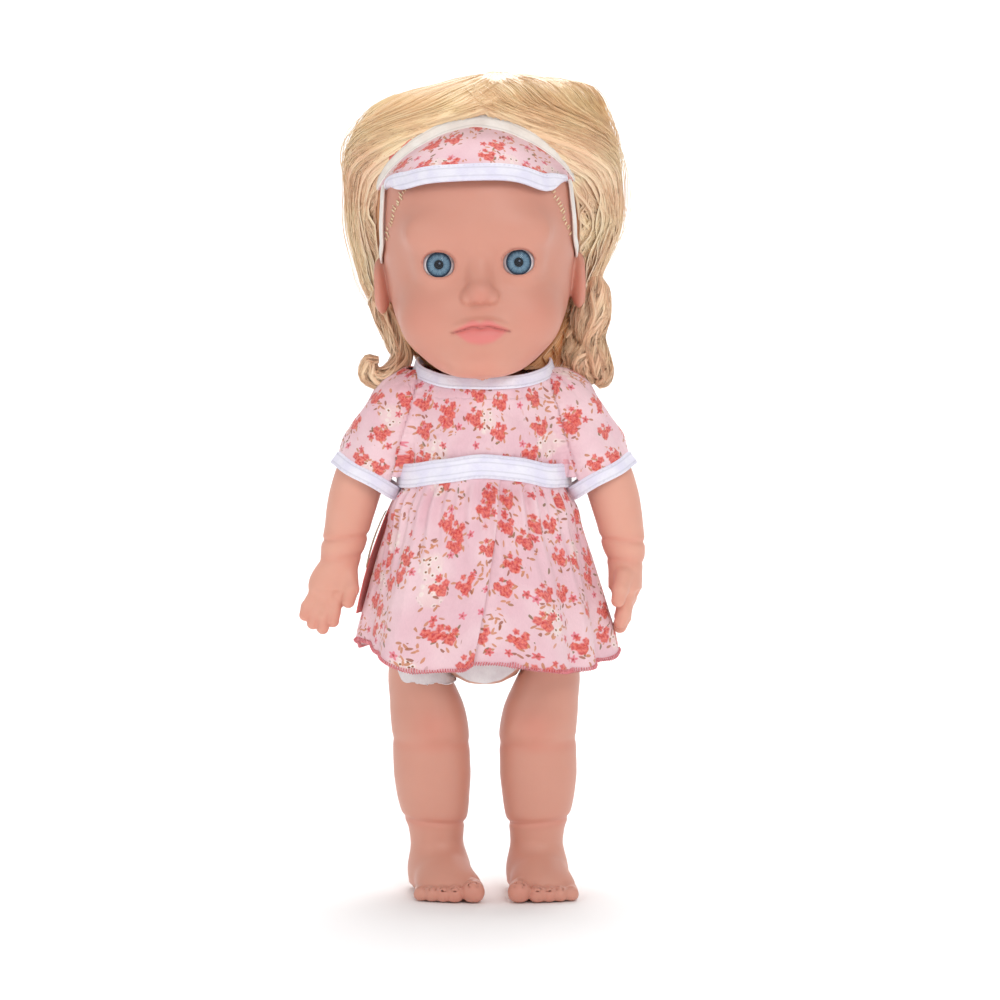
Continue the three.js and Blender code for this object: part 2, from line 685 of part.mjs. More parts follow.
// ---- Head ---------------------------------------------------------------------------------------
// The back of the head starts higher than the chin.
const liftNape = (point) => {
  const fade = THREE.MathUtils.clamp((275 - point.z) / 50, 0, 1);
  point.z += 0.12 * Math.max(point.y + 25, 0) * fade;
};
const neckAt = [0, NECK.y, 0];
const EARS = [[42, 1, 259.5], [4, 6, 11.5]];
let head = join([
  loft(HEAD, 20, liftNape),
  ellipsoid([0, -42, 256], [6, 7, 5.6], 10, 6),
  ellipsoid([0, -39, 236.5], [10, 4.6, 4.4], 10, 6),
  ...SIDES.map(([, side]) => ellipsoid([side * EARS[0][0], EARS[0][1], EARS[0][2]], EARS[1], 10, 6)),
]);
head = head
  .subtract(loft(grow(thinned(HEAD), -VINYL), 12, liftNape))
  .add(cylinder(17.5, NECK.floorZ, NECK.floorZ + 2.6, neckAt, [0, 0, 1]))
  .subtract(cylinder(17, 200, NECK.floorZ, neckAt, [0, 0, 1]))
  .subtract(cylinder(NECK.holeRadius, 200, NECK.floorZ + 3, neckAt, [0, 0, 1]));
for (const [, side] of SIDES) {
  const centre = [side * EYE.x, EYE.y, EYE.z];
  head = head.subtract(ellipsoid(centre, [0, 0, 0].map(() => EYE.radius + 0.8), 10, 6));
  head = head.subtract(cylinder(EYE.openingRadius, 0, 20, centre, [0, -1, 0], 16));
}
add('head_shell', head, VINYL_SKIN());

for (const [name, side] of SIDES) {
  const centre = [side * EYE.x, EYE.y, EYE.z];
  const { radius, irisRadius } = EYE;
  const ball = ellipsoid(centre, [radius, radius, radius], 16, 10);
  const front = [0, -1, 0];
  const socket = cylinder(irisRadius + GAP, 4.9, 12, centre, front, 20);
  add(`eyeball_${name}`, ball.subtract(socket), WHITE_PLASTIC());
  const disc = cylinder(irisRadius, 5.2, 5.7, centre, front, 20);
  add(`iris_${name}`, disc, makeMaterial(0x3f7fa6, 0.3));
  const dome = [[0, 6], [irisRadius, 6], [irisRadius, 6.8], [3.6, 7.8], [1.8, 8.4], [0, 8.6]];
  add(
    `cornea_${name}`,
    turned(dome, centre, front, 20),
    new THREE.MeshStandardMaterial({ color: 0xffffff, roughness: 0.05, transparent: true, opacity: 0.3 }),
  );
  const cup = ellipsoid(centre, [9.8, 9.8, 9.8], 12, 8)
    .subtract(ellipsoid(centre, [9, 9, 9], 12, 8))
    .subtract(beyond([side * EYE.x, EYE.y + 5.4, EYE.z], front));
  add(`eye_cup_${name}`, cup.subtract(cylinder(3, 0, 20, centre, [0, 1, 0], 12)), WHITE_PLASTIC());
}

// ---- Visor and hair -----------------------------------------------------------------------------
// The brim stands out over the forehead, with a binding along its lower edge.
const BRIM = [
  [301.4, 0, 1, 43.6, 61],
  [306, 0, 1, 43.2, 57.4],
  [312, 0, 1, 40.2, 51.4],
  [318, 0, 1, 36, 43.6],
  [322, 0, 1, 32.4, 37.6],
];
const visorFront = beyond([0, -12, 302], [0, 1, 0.35]);
const brimSkin = (sections, t) =>
  loft(sections, 24).subtract(loft(grow(sections, -t, 1), 24)).subtract(visorFront);
add('visor_brim', brimSkin(BRIM, 1.6), PRINT_FABRIC());
const TRIM = [[296.4, 0, 1, 43.8, 61.2], [301, 0, 1, 43.8, 61.2]];
add('visor_trim', brimSkin(TRIM, 2), WHITE_FABRIC());

// The band crosses the top of the forehead; the strap runs from it down behind the ears.
const headGrown = (t) => loft(grow(HEAD, t), 20, liftNape);
const bandZone = beyond([0, -22, 322.5], [0, -1, 0.62]).subtract(beyond([0, -28, 333], [0, 1, 0.9]));
const bandBody = headGrown(4.4)
  .subtract(headGrown(1.6))
  .intersect(box([-36, -60, 303], [36, -6, 345]))
  .subtract(loft(grow(BRIM, GAP, 0), 24))
  .subtract(beyond([0, 0, 322.4], [0, 0, -1]));
add('visor_band', bandBody, WHITE_FABRIC());

const strap = headGrown(1.5)
  .subtract(headGrown(0.5))
  .subtract(beyond([0, -10, 300.5], [0, -29, -18.4]))
  .subtract(beyond([0, -6, 303.5], [0, 29, 18.4]))
  .subtract(beyond([0, 0, 295.6], [0, 0, 1]));
add('visor_strap', strap, WHITE_FABRIC());

const frontCut = join([
  box([-43.5, -80, 200], [43.5, -14, 322]),
  box([-80, -80, 200], [80, 11.5, 274]),
  box([-80, -80, 200], [80, -12, 300]),
  box([-44.6, -80, 200], [44.6, -2, 304]),
]);
const hair = loft(HAIR, 20)
  .subtract(headGrown(2))
  .subtract(frontCut)
  .subtract(loft(grow(BRIM, 1.2, 0), 24))
  .subtract(headGrown(5).intersect(box([-38, -70, 300], [38, -4, 338])))
  .subtract(cylinder(32, 200, 232.5, neckAt, [0, 0, 1]));
add('hair', hair, HAIR_FIBRE());

// ---- Origin at the bottom centre ----------------------------------------------------------------
const bounds = new THREE.Box3().setFromObject(doll);
const centre = bounds.getCenter(new THREE.Vector3());
for (const mesh of doll.children) {
  mesh.geometry.translate(-centre.x, -centre.y, -bounds.min.z);
}

export default doll;
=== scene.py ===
"""Looks of the interactive baby doll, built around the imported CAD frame.

Shapes are worked out in "design" millimetres: x = 0 on the doll's centre line, -y is where it faces,
z = 0 under the soles. place() turns them into the frame's metres.
"""

import math

import bpy
import numpy as np
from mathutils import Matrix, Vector


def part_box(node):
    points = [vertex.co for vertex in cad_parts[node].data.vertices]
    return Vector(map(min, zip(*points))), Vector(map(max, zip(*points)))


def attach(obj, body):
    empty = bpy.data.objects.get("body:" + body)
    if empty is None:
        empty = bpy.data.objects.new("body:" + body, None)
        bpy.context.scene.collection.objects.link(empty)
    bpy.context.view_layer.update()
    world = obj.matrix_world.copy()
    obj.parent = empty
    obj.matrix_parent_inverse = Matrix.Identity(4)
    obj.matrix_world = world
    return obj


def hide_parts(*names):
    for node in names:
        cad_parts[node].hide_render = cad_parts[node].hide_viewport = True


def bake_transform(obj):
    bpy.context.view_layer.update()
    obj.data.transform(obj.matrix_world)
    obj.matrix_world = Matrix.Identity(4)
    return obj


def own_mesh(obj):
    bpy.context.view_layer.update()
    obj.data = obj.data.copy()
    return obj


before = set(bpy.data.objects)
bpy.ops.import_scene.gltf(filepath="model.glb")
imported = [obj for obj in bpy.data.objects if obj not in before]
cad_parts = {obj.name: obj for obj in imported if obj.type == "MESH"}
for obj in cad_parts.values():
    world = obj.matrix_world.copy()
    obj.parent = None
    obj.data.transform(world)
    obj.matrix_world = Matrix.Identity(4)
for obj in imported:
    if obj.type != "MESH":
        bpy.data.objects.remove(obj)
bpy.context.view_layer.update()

neck_low, neck_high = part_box("neck_plug")
ORIGIN = np.array([(neck_low[0] + neck_high[0]) / 2, (neck_low[1] + neck_high[1]) / 2 - 0.002, 0.0])
SIDES = (("left", 1), ("right", -1))  # the doll's own left is +x


def place(points):
    """Design millimetres to the frame's metres."""
    return np.asarray(points, float) / 1000 + ORIGIN


def place_one(point):
    """One design point as a plain tuple in metres."""
    return tuple(float(v) for v in place([point])[0])


# ---------------------------------------------------------------- meshes
def make_object(name, points, faces, material, smooth=True):
    """A mesh object from points in design millimetres and an array of triangles or quads."""
    faces = np.asarray(faces, np.int32)
    points = place(points).astype(np.float32)
    sides = faces.shape[1]
    mesh = bpy.data.meshes.new(name)
    mesh.vertices.add(len(points))
    mesh.vertices.foreach_set("co", points.ravel())
    mesh.loops.add(faces.size)
    mesh.loops.foreach_set("vertex_index", faces.ravel())
    mesh.polygons.add(len(faces))
    mesh.polygons.foreach_set("loop_start", np.arange(0, faces.size, sides, dtype=np.int32))
    mesh.polygons.foreach_set("use_smooth", np.full(len(faces), smooth))
    mesh.update(calc_edges=True)
    mesh.validate()
    obj = bpy.data.objects.new(name, mesh)
    bpy.context.scene.collection.objects.link(obj)
    obj.data.materials.append(material)
    return obj


def give(obj, name, values):
    """A point attribute: one number or one vector for each vertex."""
    values = np.asarray(values, np.float32)
    kind = "FLOAT" if values.ndim == 1 else "FLOAT_VECTOR"
    attribute = obj.data.attributes.new(name, kind, "POINT")
    attribute.data.foreach_set("value" if values.ndim == 1 else "vector", values.ravel())


def settle(obj, body, slot, *nodes):
    """Says which body a piece moves with, and hides the CAD nodes it stands for; slot is not used."""
    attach(obj, body)
    if nodes:
        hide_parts(*nodes)
    return obj


def unit_length(vectors):
    """The same directions, each one unit long."""
    return vectors / np.linalg.norm(vectors, axis=-1, keepdims=True)


def tangents(line):
    """The direction of a line at each of its points."""
    return unit_length(np.gradient(line, axis=0))


def distance_along(line):
    """How far each point of a line is from its start."""
    step = np.linalg.norm(np.diff(line, axis=0), axis=1)
    return np.concatenate([[0], np.cumsum(step)])


def folded_over(points):
    """The same points, with those at -x mirrored to +x."""
    return points * np.where(points[:, :1] < 0, [-1, 1, 1], 1)


def used_by(faces):
    """The numbers of the points that some faces use, and the faces renumbered to them."""
    used, again = np.unique(faces, return_inverse=True)
    return used, again.reshape(faces.shape)


def repeated(faces, copies, count):
    """The faces of many equal meshes that lie one after the other, each with count points."""
    shift = np.arange(copies)[:, None, None] * count
    return (faces[None] + shift).reshape(-1, faces.shape[1])


def grid_faces(rows, columns, closed=False):
    """Quads of a grid whose points run along the columns first."""
    last = columns if closed else columns - 1
    i, j = np.meshgrid(np.arange(rows - 1), np.arange(last), indexing="ij")
    nxt = (j + 1) % columns
    quads = [i * columns + j, i * columns + nxt, (i + 1) * columns + nxt, (i + 1) * columns + j]
    return np.stack(quads, -1).reshape(-1, 4)


# ---------------------------------------------------------------- distance fields
def smooth_min(a, b, k):
    """The smaller of two fields, with the join rounded over a distance k."""
    h = np.clip(0.5 + 0.5 * (b - a) / k, 0, 1)
    return b + (a - b) * h - k * h * (1 - h)


def smooth_max(a, b, k):
    """The larger of two fields, with the join rounded over a distance k."""
    return -smooth_min(-a, -b, k)


def turn_matrix(degrees, axis):
    """A rotation about one of the axes."""
    c, s = math.cos(math.radians(degrees)), math.sin(math.radians(degrees))
    return {
        "x": np.array([[1, 0, 0], [0, c, -s], [0, s, c]]),
        "y": np.array([[c, 0, s], [0, 1, 0], [-s, 0, c]]),
        "z": np.array([[c, -s, 0], [s, c, 0], [0, 0, 1]]),
    }[axis]


def ellipsoid(p, centre, radii, turn=None):
    """Distance-like field of an ellipsoid, turned if need be."""
    q = p - np.asarray(centre, float)
    if turn is not None:
        q = q @ turn  # into the ellipsoid's own axes
    radii = np.asarray(radii, float)
    k0 = np.linalg.norm(q / radii, axis=1)
    k1 = np.linalg.norm(q / radii**2, axis=1) + 1e-9
    return k0 * (k0 - 1) / k1


def round_cone(p, a, b, ra, rb):
    """Distance-like field of a rod from a to b whose radius goes from ra to rb."""
    a, b = np.asarray(a, float), np.asarray(b, float)
    t = np.clip(((p - a) @ (b - a)) / ((b - a) @ (b - a)), 0, 1)
    return np.linalg.norm(p - a - t[:, None] * (b - a), axis=1) - (ra + t * (rb - ra))


def curve_through(x, xs, ys):
    """A smooth curve through points, without overshoot (monotone cubic)."""
    xs, ys = np.asarray(xs, float), np.asarray(ys, float)
    step = np.diff(xs)
    slope = np.diff(ys) / step
    m = np.zeros(len(xs))
    inner = slope[:-1] * slope[1:] > 0
    m[1:-1][inner] = 2 * slope[:-1][inner] * slope[1:][inner] / (slope[:-1] + slope[1:])[inner]
    m[0], m[-1] = slope[0], slope[-1]
    x = np.clip(x, xs[0], xs[-1])
    i = np.clip(np.searchsorted(xs, x) - 1, 0, len(xs) - 2)
    h, t = step[i], (x - xs[i]) / step[i]
    return (
        ys[i] * (1 + 2 * t) * (1 - t) ** 2
        + m[i] * h * t * (1 - t) ** 2
        + ys[i + 1] * t**2 * (3 - 2 * t)
        + m[i + 1] * h * t**2 * (t - 1)
    )


def section_field(p, table, power=2.0, creases=()):
    """Distance-like field of a body given by [z, x, y, half width, half depth] sections.

    A crease is (z, depth, height, tilt across x): a soft fold round the limb.
    """
    table = np.asarray(table, float)
    z = p[:, 2]
    cx, cy, rx, ry = (curve_through(z, table[:, 0], table[:, n]) for n in (1, 2, 3, 4))
    for at, depth, height, tilt in creases:
        dip = depth * np.exp(-(((z - at - tilt * (p[:, 0] - cx)) / height) ** 2))
        rx, ry = rx - dip, ry - dip
    rx, ry = np.maximum(rx, 0.3), np.maximum(ry, 0.3)
    u, v = np.abs(p[:, 0] - cx) / rx, np.abs(p[:, 1] - cy) / ry
    q = (u**power + v**power) ** (1 / power)
    across = (q - 1) * np.minimum(rx, ry)
    beyond = np.maximum(table[0, 0] - z, z - table[-1, 0])
    return np.maximum(across, beyond)


def polygonise(field, low, high, step):
    """The zero surface of a field as (points, quads): surface nets, then pulled onto the surface."""
    low, high = np.asarray(low, float), np.asarray(high, float)
    ratio = 4
    blocks = np.ceil((high - low) / (step * ratio)).astype(int)
    size = blocks * ratio + 1
    coarse = [low[n] + step * ratio * (np.arange(blocks[n]) + 0.5) for n in range(3)]
    centres = np.stack(np.meshgrid(*coarse, indexing="ij"), -1)
    rough = field(centres.reshape(-1, 3)).reshape(blocks)
    near = np.argwhere(np.abs(rough) < step * ratio * 2.0)
    values = np.repeat(np.repeat(np.repeat(rough, ratio, 0), ratio, 1), ratio, 2)
    values = np.pad(values, ((0, 1),) * 3, mode="edge").astype(np.float32)
    local = np.stack(np.meshgrid(*[np.arange(ratio + 1)] * 3, indexing="ij"), -1).reshape(-1, 3)
    cells = np.unique(
        ((near[:, None, :] * ratio + local[None]).reshape(-1, 3) * [1, 100000, 0]).sum(1)
        + (near[:, None, :] * ratio + local[None]).reshape(-1, 3)[:, 2] * 1e10
    )
    z = (cells // 1e10).astype(int)
    y = ((cells - z * 1e10) // 100000).astype(int)
    x = (cells - z * 1e10 - y * 100000).astype(int)
    index = np.stack([x, y, z], 1)
    for part in np.array_split(index, max(1, len(index) // 200000)):
        values[part[:, 0], part[:, 1], part[:, 2]] = field(low + part * step)
    inside = values < 0
    corner = [inside[a : size[0] - 1 + a, b : size[1] - 1 + b, c : size[2] - 1 + c].astype(np.int8)
              for a in (0, 1) for b in (0, 1) for c in (0, 1)]
    count = sum(corner)
    active = (count > 0) & (count < 8)
    number = np.full(active.shape, -1, np.int64)
    number[active] = np.arange(active.sum())
    cell = np.argwhere(active)
    total, crossings = np.zeros((len(cell), 3)), np.zeros(len(cell))
    unit = np.eye(3, dtype=int)
    for axis in range(3):
        b1, b2 = unit[(axis + 1) % 3], unit[(axis + 2) % 3]
        for s in (0, 1):
            for t in (0, 1):
                start = cell + s * b1 + t * b2
                end = start + unit[axis]
                da = values[start[:, 0], start[:, 1], start[:, 2]]
                db = values[end[:, 0], end[:, 1], end[:, 2]]
                cross = (da < 0) != (db < 0)
                share = np.where(cross, da / np.where(cross, da - db, 1), 0)
                total += np.where(cross[:, None], start + share[:, None] * unit[axis], 0)
                crossings += cross
    points = low + step * total / crossings[:, None]
    quads = []
    for axis in range(3):
        o1, o2 = (axis + 1) % 3, (axis + 2) % 3
        first = [slice(1, None)] * 3
        second = [slice(1, None)] * 3
        first[axis], second[axis] = slice(0, -1), slice(1, None)
        a, b = inside[tuple(first)], inside[tuple(second)]
        edge = np.argwhere(a != b)
        out = a[edge[:, 0], edge[:, 1], edge[:, 2]]
        base = edge + 1
        base[:, axis] -= 1
        keep = (
            (base[:, o1] < size[o1] - 1) & (base[:, o2] < size[o2] - 1)
            & (base[:, axis] < size[axis] - 1)
        )
        base, out = base[keep], out[keep]
        around = [base, base - unit[o1], base - unit[o1] - unit[o2], base - unit[o2]]
        ids = np.stack([number[c[:, 0], c[:, 1], c[:, 2]] for c in around], 1)
        ids[~out] = ids[~out][:, ::-1]
        quads.append(ids[(ids >= 0).all(1)])
    quads = np.concatenate(quads)
    for _ in range(2):
        value, normal = slope_of(field, points)
        points = points - np.clip(value, -step, step)[:, None] * normal
    return points, quads


def slope_of(field, points, reach=0.05):
    """The field and its unit gradient, scaled so that the field reads as a distance."""
    value = field(points)
    gradient = np.stack(
        [(field(points + reach * e) - field(points - reach * e)) / (2 * reach) for e in np.eye(3)], 1
    )
    length = np.linalg.norm(gradient, axis=1) + 1e-6
    return value / length, gradient / length[:, None]


def bump(p, centre, radius):
    """1 at a point, falling smoothly to 0 at the radius: used for tints."""
    distance = np.linalg.norm((p - np.asarray(centre, float)) / radius, axis=1)
    return np.clip(1 - distance, 0, 1) ** 2 * (3 - 2 * np.clip(1 - distance, 0, 1))


# ---------------------------------------------------------------- materials
class Nodes:
    """Short calls for building a material's node tree."""

    def __init__(self, name):
        self.material = bpy.data.materials.new(name)
        self.material.use_nodes = True
        self.tree = self.material.node_tree
        self.shader = self.tree.nodes["Principled BSDF"]

    def link(self, source, target):
        self.tree.links.new(source, target)

    def feed(self, socket, value):
        if hasattr(value, "is_linked"):
            self.link(value, socket)
        elif hasattr(socket.default_value, "__len__") and not hasattr(value, "__len__"):
            socket.default_value = [value] * len(socket.default_value)
        else:
            socket.default_value = value

    def set(self, **settings):
        """Constants or links on the shader; underscores stand for spaces."""
        for name, value in settings.items():
            self.feed(self.shader.inputs[name.replace("_", " ")], value)
        return self

    def math(self, operation, a, b=None, c=None, clamp=False):
        node = self.tree.nodes.new("ShaderNodeMath")
        node.operation, node.use_clamp = operation, clamp
        for socket, value in zip(node.inputs, (a, b, c)):
            if value is not None:
                self.feed(socket, value)
        return node.outputs[0]

    def plus(self, a, b):
        return self.math("ADD", a, b)

    def minus(self, a, b):
        return self.math("SUBTRACT", a, b)

    def times(self, a, b):
        return self.math("MULTIPLY", a, b)

    def distance(self, x, y):
        return self.math("SQRT", self.plus(self.times(x, x), self.times(y, y)))

    def vector(self, operation, a, b=None, scale=None):
        node = self.tree.nodes.new("ShaderNodeVectorMath")
        node.operation = operation
        self.feed(node.inputs[0], a)
        if b is not None:
            self.feed(node.inputs[1], b)
        if scale is not None:
            self.feed(node.inputs["Scale"], scale)
        return node.outputs["Value" if operation in ("LENGTH", "DISTANCE", "DOT_PRODUCT") else "Vector"]

    def attribute(self, name, output="Vector"):
        node = self.tree.nodes.new("ShaderNodeAttribute")
        node.attribute_name = name
        return node.outputs[output]

    def coordinates(self, output="Object"):
        return self.tree.nodes.new("ShaderNodeTexCoord").outputs[output]

    def noise(self, vector, scale, detail=3.0, roughness=0.5, output="Fac"):
        node = self.tree.nodes.new("ShaderNodeTexNoise")
        self.feed(node.inputs["Vector"], vector)
        node.inputs["Scale"].default_value = scale
        node.inputs["Detail"].default_value = detail
        node.inputs["Roughness"].default_value = roughness
        return node.outputs[output]

    def cells(self, vector, scale, randomness=1.0, two_d=True):
        node = self.tree.nodes.new("ShaderNodeTexVoronoi")
        node.voronoi_dimensions = "2D" if two_d else "3D"
        self.feed(node.inputs["Vector"], vector)
        node.inputs["Scale"].default_value = scale
        node.inputs["Randomness"].default_value = randomness
        return node

    def split(self, vector):
        node = self.tree.nodes.new("ShaderNodeSeparateXYZ")
        self.link(vector, node.inputs[0])
        return node.outputs

    def combine(self, x, y, z=0.0):
        node = self.tree.nodes.new("ShaderNodeCombineXYZ")
        for socket, value in zip(node.inputs, (x, y, z)):
            self.feed(socket, value)
        return node.outputs[0]

    def mix(self, share, a, b):
        node = self.tree.nodes.new("ShaderNodeMix")
        node.data_type = "RGBA"
        self.feed(node.inputs[0], share)
        for socket, value in ((node.inputs[6], a), (node.inputs[7], b)):
            if isinstance(value, (tuple, list)) and len(value) == 3:
                value = (*value, 1.0)
            self.feed(socket, value)
        return node.outputs[2]

    def ramp(self, value, low, high, out_low=0.0, out_high=1.0, smooth=True):
        node = self.tree.nodes.new("ShaderNodeMapRange")
        node.interpolation_type = "SMOOTHSTEP" if smooth else "LINEAR"
        self.feed(node.inputs[0], value)
        for n, number in zip((1, 2, 3, 4), (low, high, out_low, out_high)):
            node.inputs[n].default_value = number
        return node.outputs[0]

    def bump(self, height, distance, strength=1.0, onto=None):
        node = self.tree.nodes.new("ShaderNodeBump")
        node.inputs["Strength"].default_value = strength
        node.inputs["Distance"].default_value = distance
        self.link(height, node.inputs["Height"])
        if onto is not None:
            self.link(onto, node.inputs["Normal"])
        return node.outputs[0]


def rgb(red, green, blue):
    """An sRGB colour, 0 to 255, as linear light."""
    values = np.array([red, green, blue]) / 255
    return tuple(
        float(v)
        for v in np.where(values <= 0.04045, values / 12.92, ((values + 0.055) / 1.055) ** 2.4)
    )


SKIN = rgb(224, 163, 143)
SKIN_DEEP = rgb(212, 128, 112)
LIPS = rgb(224, 124, 122)
# colour of the painted shade at the mouth line and round the eye openings
CREASE_SHADE = rgb(150, 76, 66)


def vinyl_material():
    """Soft doll vinyl: satin, faintly mottled, painted darker as shade on the head and legs; blush, and
    painted shade along the limb creases, from the blush attribute; lips from "lips"; painted shade at the
    mouth line and eye rims from "crease".
    """
    n = Nodes("soft_vinyl")
    where = n.coordinates()
    mottle = n.noise(where, 60, 4, 0.55)
    tone = n.mix(n.ramp(mottle, 0.3, 0.7, 0, 0.5), SKIN, rgb(229, 171, 151))
    # painted shade: the head and the legs are painted a little darker than the arms, to match how the light
    # falls on them
    height = n.split(where)[2]
    darker = n.plus(
        n.ramp(height, 0.215, 0.235, 0.0, 0.5), n.ramp(height, 0.085, 0.105, 0.55, 0.0),
    )
    tone = n.mix(darker, tone, rgb(196, 136, 118))
    # blush, and painted shade along the limb creases
    tone = n.mix(n.attribute("blush_and_shade", "Fac"), tone, SKIN_DEEP)
    tone = n.mix(n.attribute("lips", "Fac"), tone, LIPS)
    # painted shade at the mouth line and round the eye openings, from the crease attribute
    tone = n.mix(n.attribute("crease", "Fac"), tone, CREASE_SHADE)
    grain = n.noise(where, 1500, 2, 0.6)
    soft = n.noise(where, 220, 2, 0.5)
    n.set(Base_Color=tone, Subsurface_Weight=0.12, Subsurface_Radius=(0.006, 0.0025, 0.0015))
    n.set(Subsurface_Scale=0.35, IOR=1.45, Specular_IOR_Level=0.42)
    n.set(Roughness=n.ramp(mottle, 0.2, 0.8, 0.40, 0.50))
    skin_bump = n.bump(grain, 0.00003, 0.5)
    n.set(Normal=n.bump(soft, 0.00008, 0.35, skin_bump))
    return n.material


VINYL = vinyl_material()
# Sizes of the mesh faces, in millimetres.
HEAD_STEP, ARM_STEP, LEG_STEP, NECK_STEP = 0.75, 0.5, 0.65, 0.8
DRESS_STEP, PANTY_STEP = 0.7, 0.9

# ---------------------------------------------------------------- head
HEAD_TILT = turn_matrix(-1.8, "y")  # the head leans a little to the doll's right
HEAD_PIVOT = np.array([0.0, 0.0, 224.0])
FACE_X = -0.6


def lean(points):
    """Untilted head coordinates to design coordinates."""
    return (points - HEAD_PIVOT) @ HEAD_TILT.T + HEAD_PIVOT + [FACE_X, 0, 0]


HEAD_Z = [
    219.6, 220.4, 222.3, 225.4, 229, 235, 241, 248, 256, 267, 276, 285, 295, 305, 314, 321, 326,
    329, 330.4,
]
HEAD_WIDE = [
    0.3, 8.5, 15.4, 20.6, 25.0, 30.4, 34.0, 36.5, 38.2, 39.8, 40.9, 41.3, 40.7, 38.2, 33.3, 26.5,
    19, 11, 0.3,
]
HEAD_FRONT = [
    -27, -31.5, -35, -37, -38.2, -39.3, -40.4, -41, -41.2, -41.4, -42.8, -44, -43.9, -41, -36, -29,
    -21.5, -12, 0,
]
HEAD_BACK = [-26, -22, -9, 8, 21, 30.5, 36, 40, 43, 45.6, 46.8, 47.2, 46.6, 44, 39, 32, 24.5, 15, 1]
HEAD = [
    [z, 0, (front + back) / 2, wide, (back - front) / 2]
    for z, wide, front, back in zip(HEAD_Z, HEAD_WIDE, HEAD_FRONT, HEAD_BACK)
]
EYE_X, EYE_Y, EYE_Z, EYE_R = 16.5, -31.9, 267.4, 8.5


def mouth_line(p, radius):
    """Distance from the line between the lips, seen from the front."""
    height = curve_through(np.abs(p[:, 0]), [0, 3, 8, 12.4], [240.7, 241.2, 240.0, 239.0])
    beyond = np.maximum(np.abs(p[:, 0]) - 12, 0)
    return np.hypot(beyond, p[:, 2] - height) - radius


def head_field(p):
    """The head in untilted coordinates, from skull to nostrils."""
    side = p.copy()
    side[:, 0] = np.abs(side[:, 0])  # the head is symmetric, so one half does both
    d = section_field(side, HEAD, power=2.12)
    d = smooth_min(d, ellipsoid(side, (19, -27.5, 244), (13, 12.5, 12)), 12)  # cheek
    d = smooth_min(d, ellipsoid(side, (0, -33, 228.2), (11, 7.4, 6.6)), 8)  # chin
    d = smooth_max(d, -ellipsoid(side, (0, -48, 232), (9, 6, 2.2)), 4)
    d = smooth_min(d, ellipsoid(side, (0, -36.5, 240), (14, 6.5, 8)), 6)  # muzzle
    d = smooth_max(d, -ellipsoid(side, (16, -49, 268), (11, 7.4, 8)), 10)  # eye hollow
    d = smooth_min(d, ellipsoid(side, (15, -36.5, 280), (13, 4.6, 6)), 12)  # brow
    d = smooth_min(d, ellipsoid(side, (EYE_X, EYE_Y, EYE_Z), (9.7, 9.3, 9.2)), 5)  # lids
    d = smooth_min(d, round_cone(side, (0, -38.5, 268), (0, -43.2, 257), 3.2, 4.6), 5)  # nose
    d = smooth_min(d, ellipsoid(side, (0, -45, 255.2), (4.9, 4.5, 4.3)), 2.6)
    d = smooth_min(d, ellipsoid(side, (4.9, -41.8, 253.4), (2.9, 3.7, 2.9)), 2.2)
    d = smooth_max(d, -ellipsoid(side, (2.9, -45.6, 250.5), (1.3, 1.7, 0.75)), 0.8)  # nostril
    d = smooth_max(d, -round_cone(side, (0, -46.9, 249), (0, -45.9, 244.8), 0.9, 1.5), 1.6)
    d = smooth_min(d, ellipsoid(side, (4.2, -41.8, 242.7), (6.6, 2.9, 1.9), turn_matrix(9, "y")), 1.6)
    d = smooth_min(d, ellipsoid(side, (0, -41.4, 237.4), (8.8, 3.6, 3.0)), 1.8)  # lower lip
    d = d + 0.85 * np.exp(-((mouth_line(p, 0) / 0.75) ** 2)) * np.clip((-34 - p[:, 1]) / 2, 0, 1)
    ear_turn = turn_matrix(-12, "x") @ turn_matrix(16, "z")
    ear = ellipsoid(side, (41.8, 2, 259.5), (3.4, 7, 12), ear_turn)
    ear = smooth_max(ear, -ellipsoid(side, (45.4, 0.6, 259.8), (2.6, 4.6, 8.6), ear_turn), 1.0)
    ear = smooth_min(ear, ellipsoid(side, (42.2, -0.6, 256), (2, 2.4, 4), ear_turn), 1.2)
    d = smooth_min(d, ear, 2.2)
    neck = np.maximum(np.hypot(p[:, 0], p[:, 1] - 2) - 17, p[:, 2] - 227.6)
    d = smooth_max(d, -neck, 1.0)
    u = (side[:, 0] - EYE_X) / 6.4
    v = (p[:, 2] - EYE_Z - 0.05 * (side[:, 0] - EYE_X)) / 5.1
    opening = np.maximum(((np.abs(u) ** 2.2 + np.abs(v) ** 2.2) ** (1 / 2.2) - 1) * 5.1, p[:, 1] + 28)
    d = smooth_max(d, -opening, 1.0)
    return np.maximum(d, -ellipsoid(side, (EYE_X, EYE_Y, EYE_Z), (8.65, 8.7, 8.65)))


def lip_mask(p):
    """How far a point is painted as lip."""
    x, z = np.abs(p[:, 0]), p[:, 2]
    top = 241.4 + curve_through(x, [0, 3, 7, 10, 12.2], [1.8, 2.9, 1.0, -0.7, -1.9])
    bottom = 233.8 + curve_through(x, [0, 4.5, 8, 10, 12.2], [0, 0.8, 2.9, 4.6, 6.2])
    edge = np.minimum(top - z, z - bottom)
    front = np.clip((-36 - p[:, 1]) / 2, 0, 1)
    return np.clip(edge / 1.6 + 0.35, 0, 1) * np.clip((12.2 - x) / 1.2, 0, 1) * front


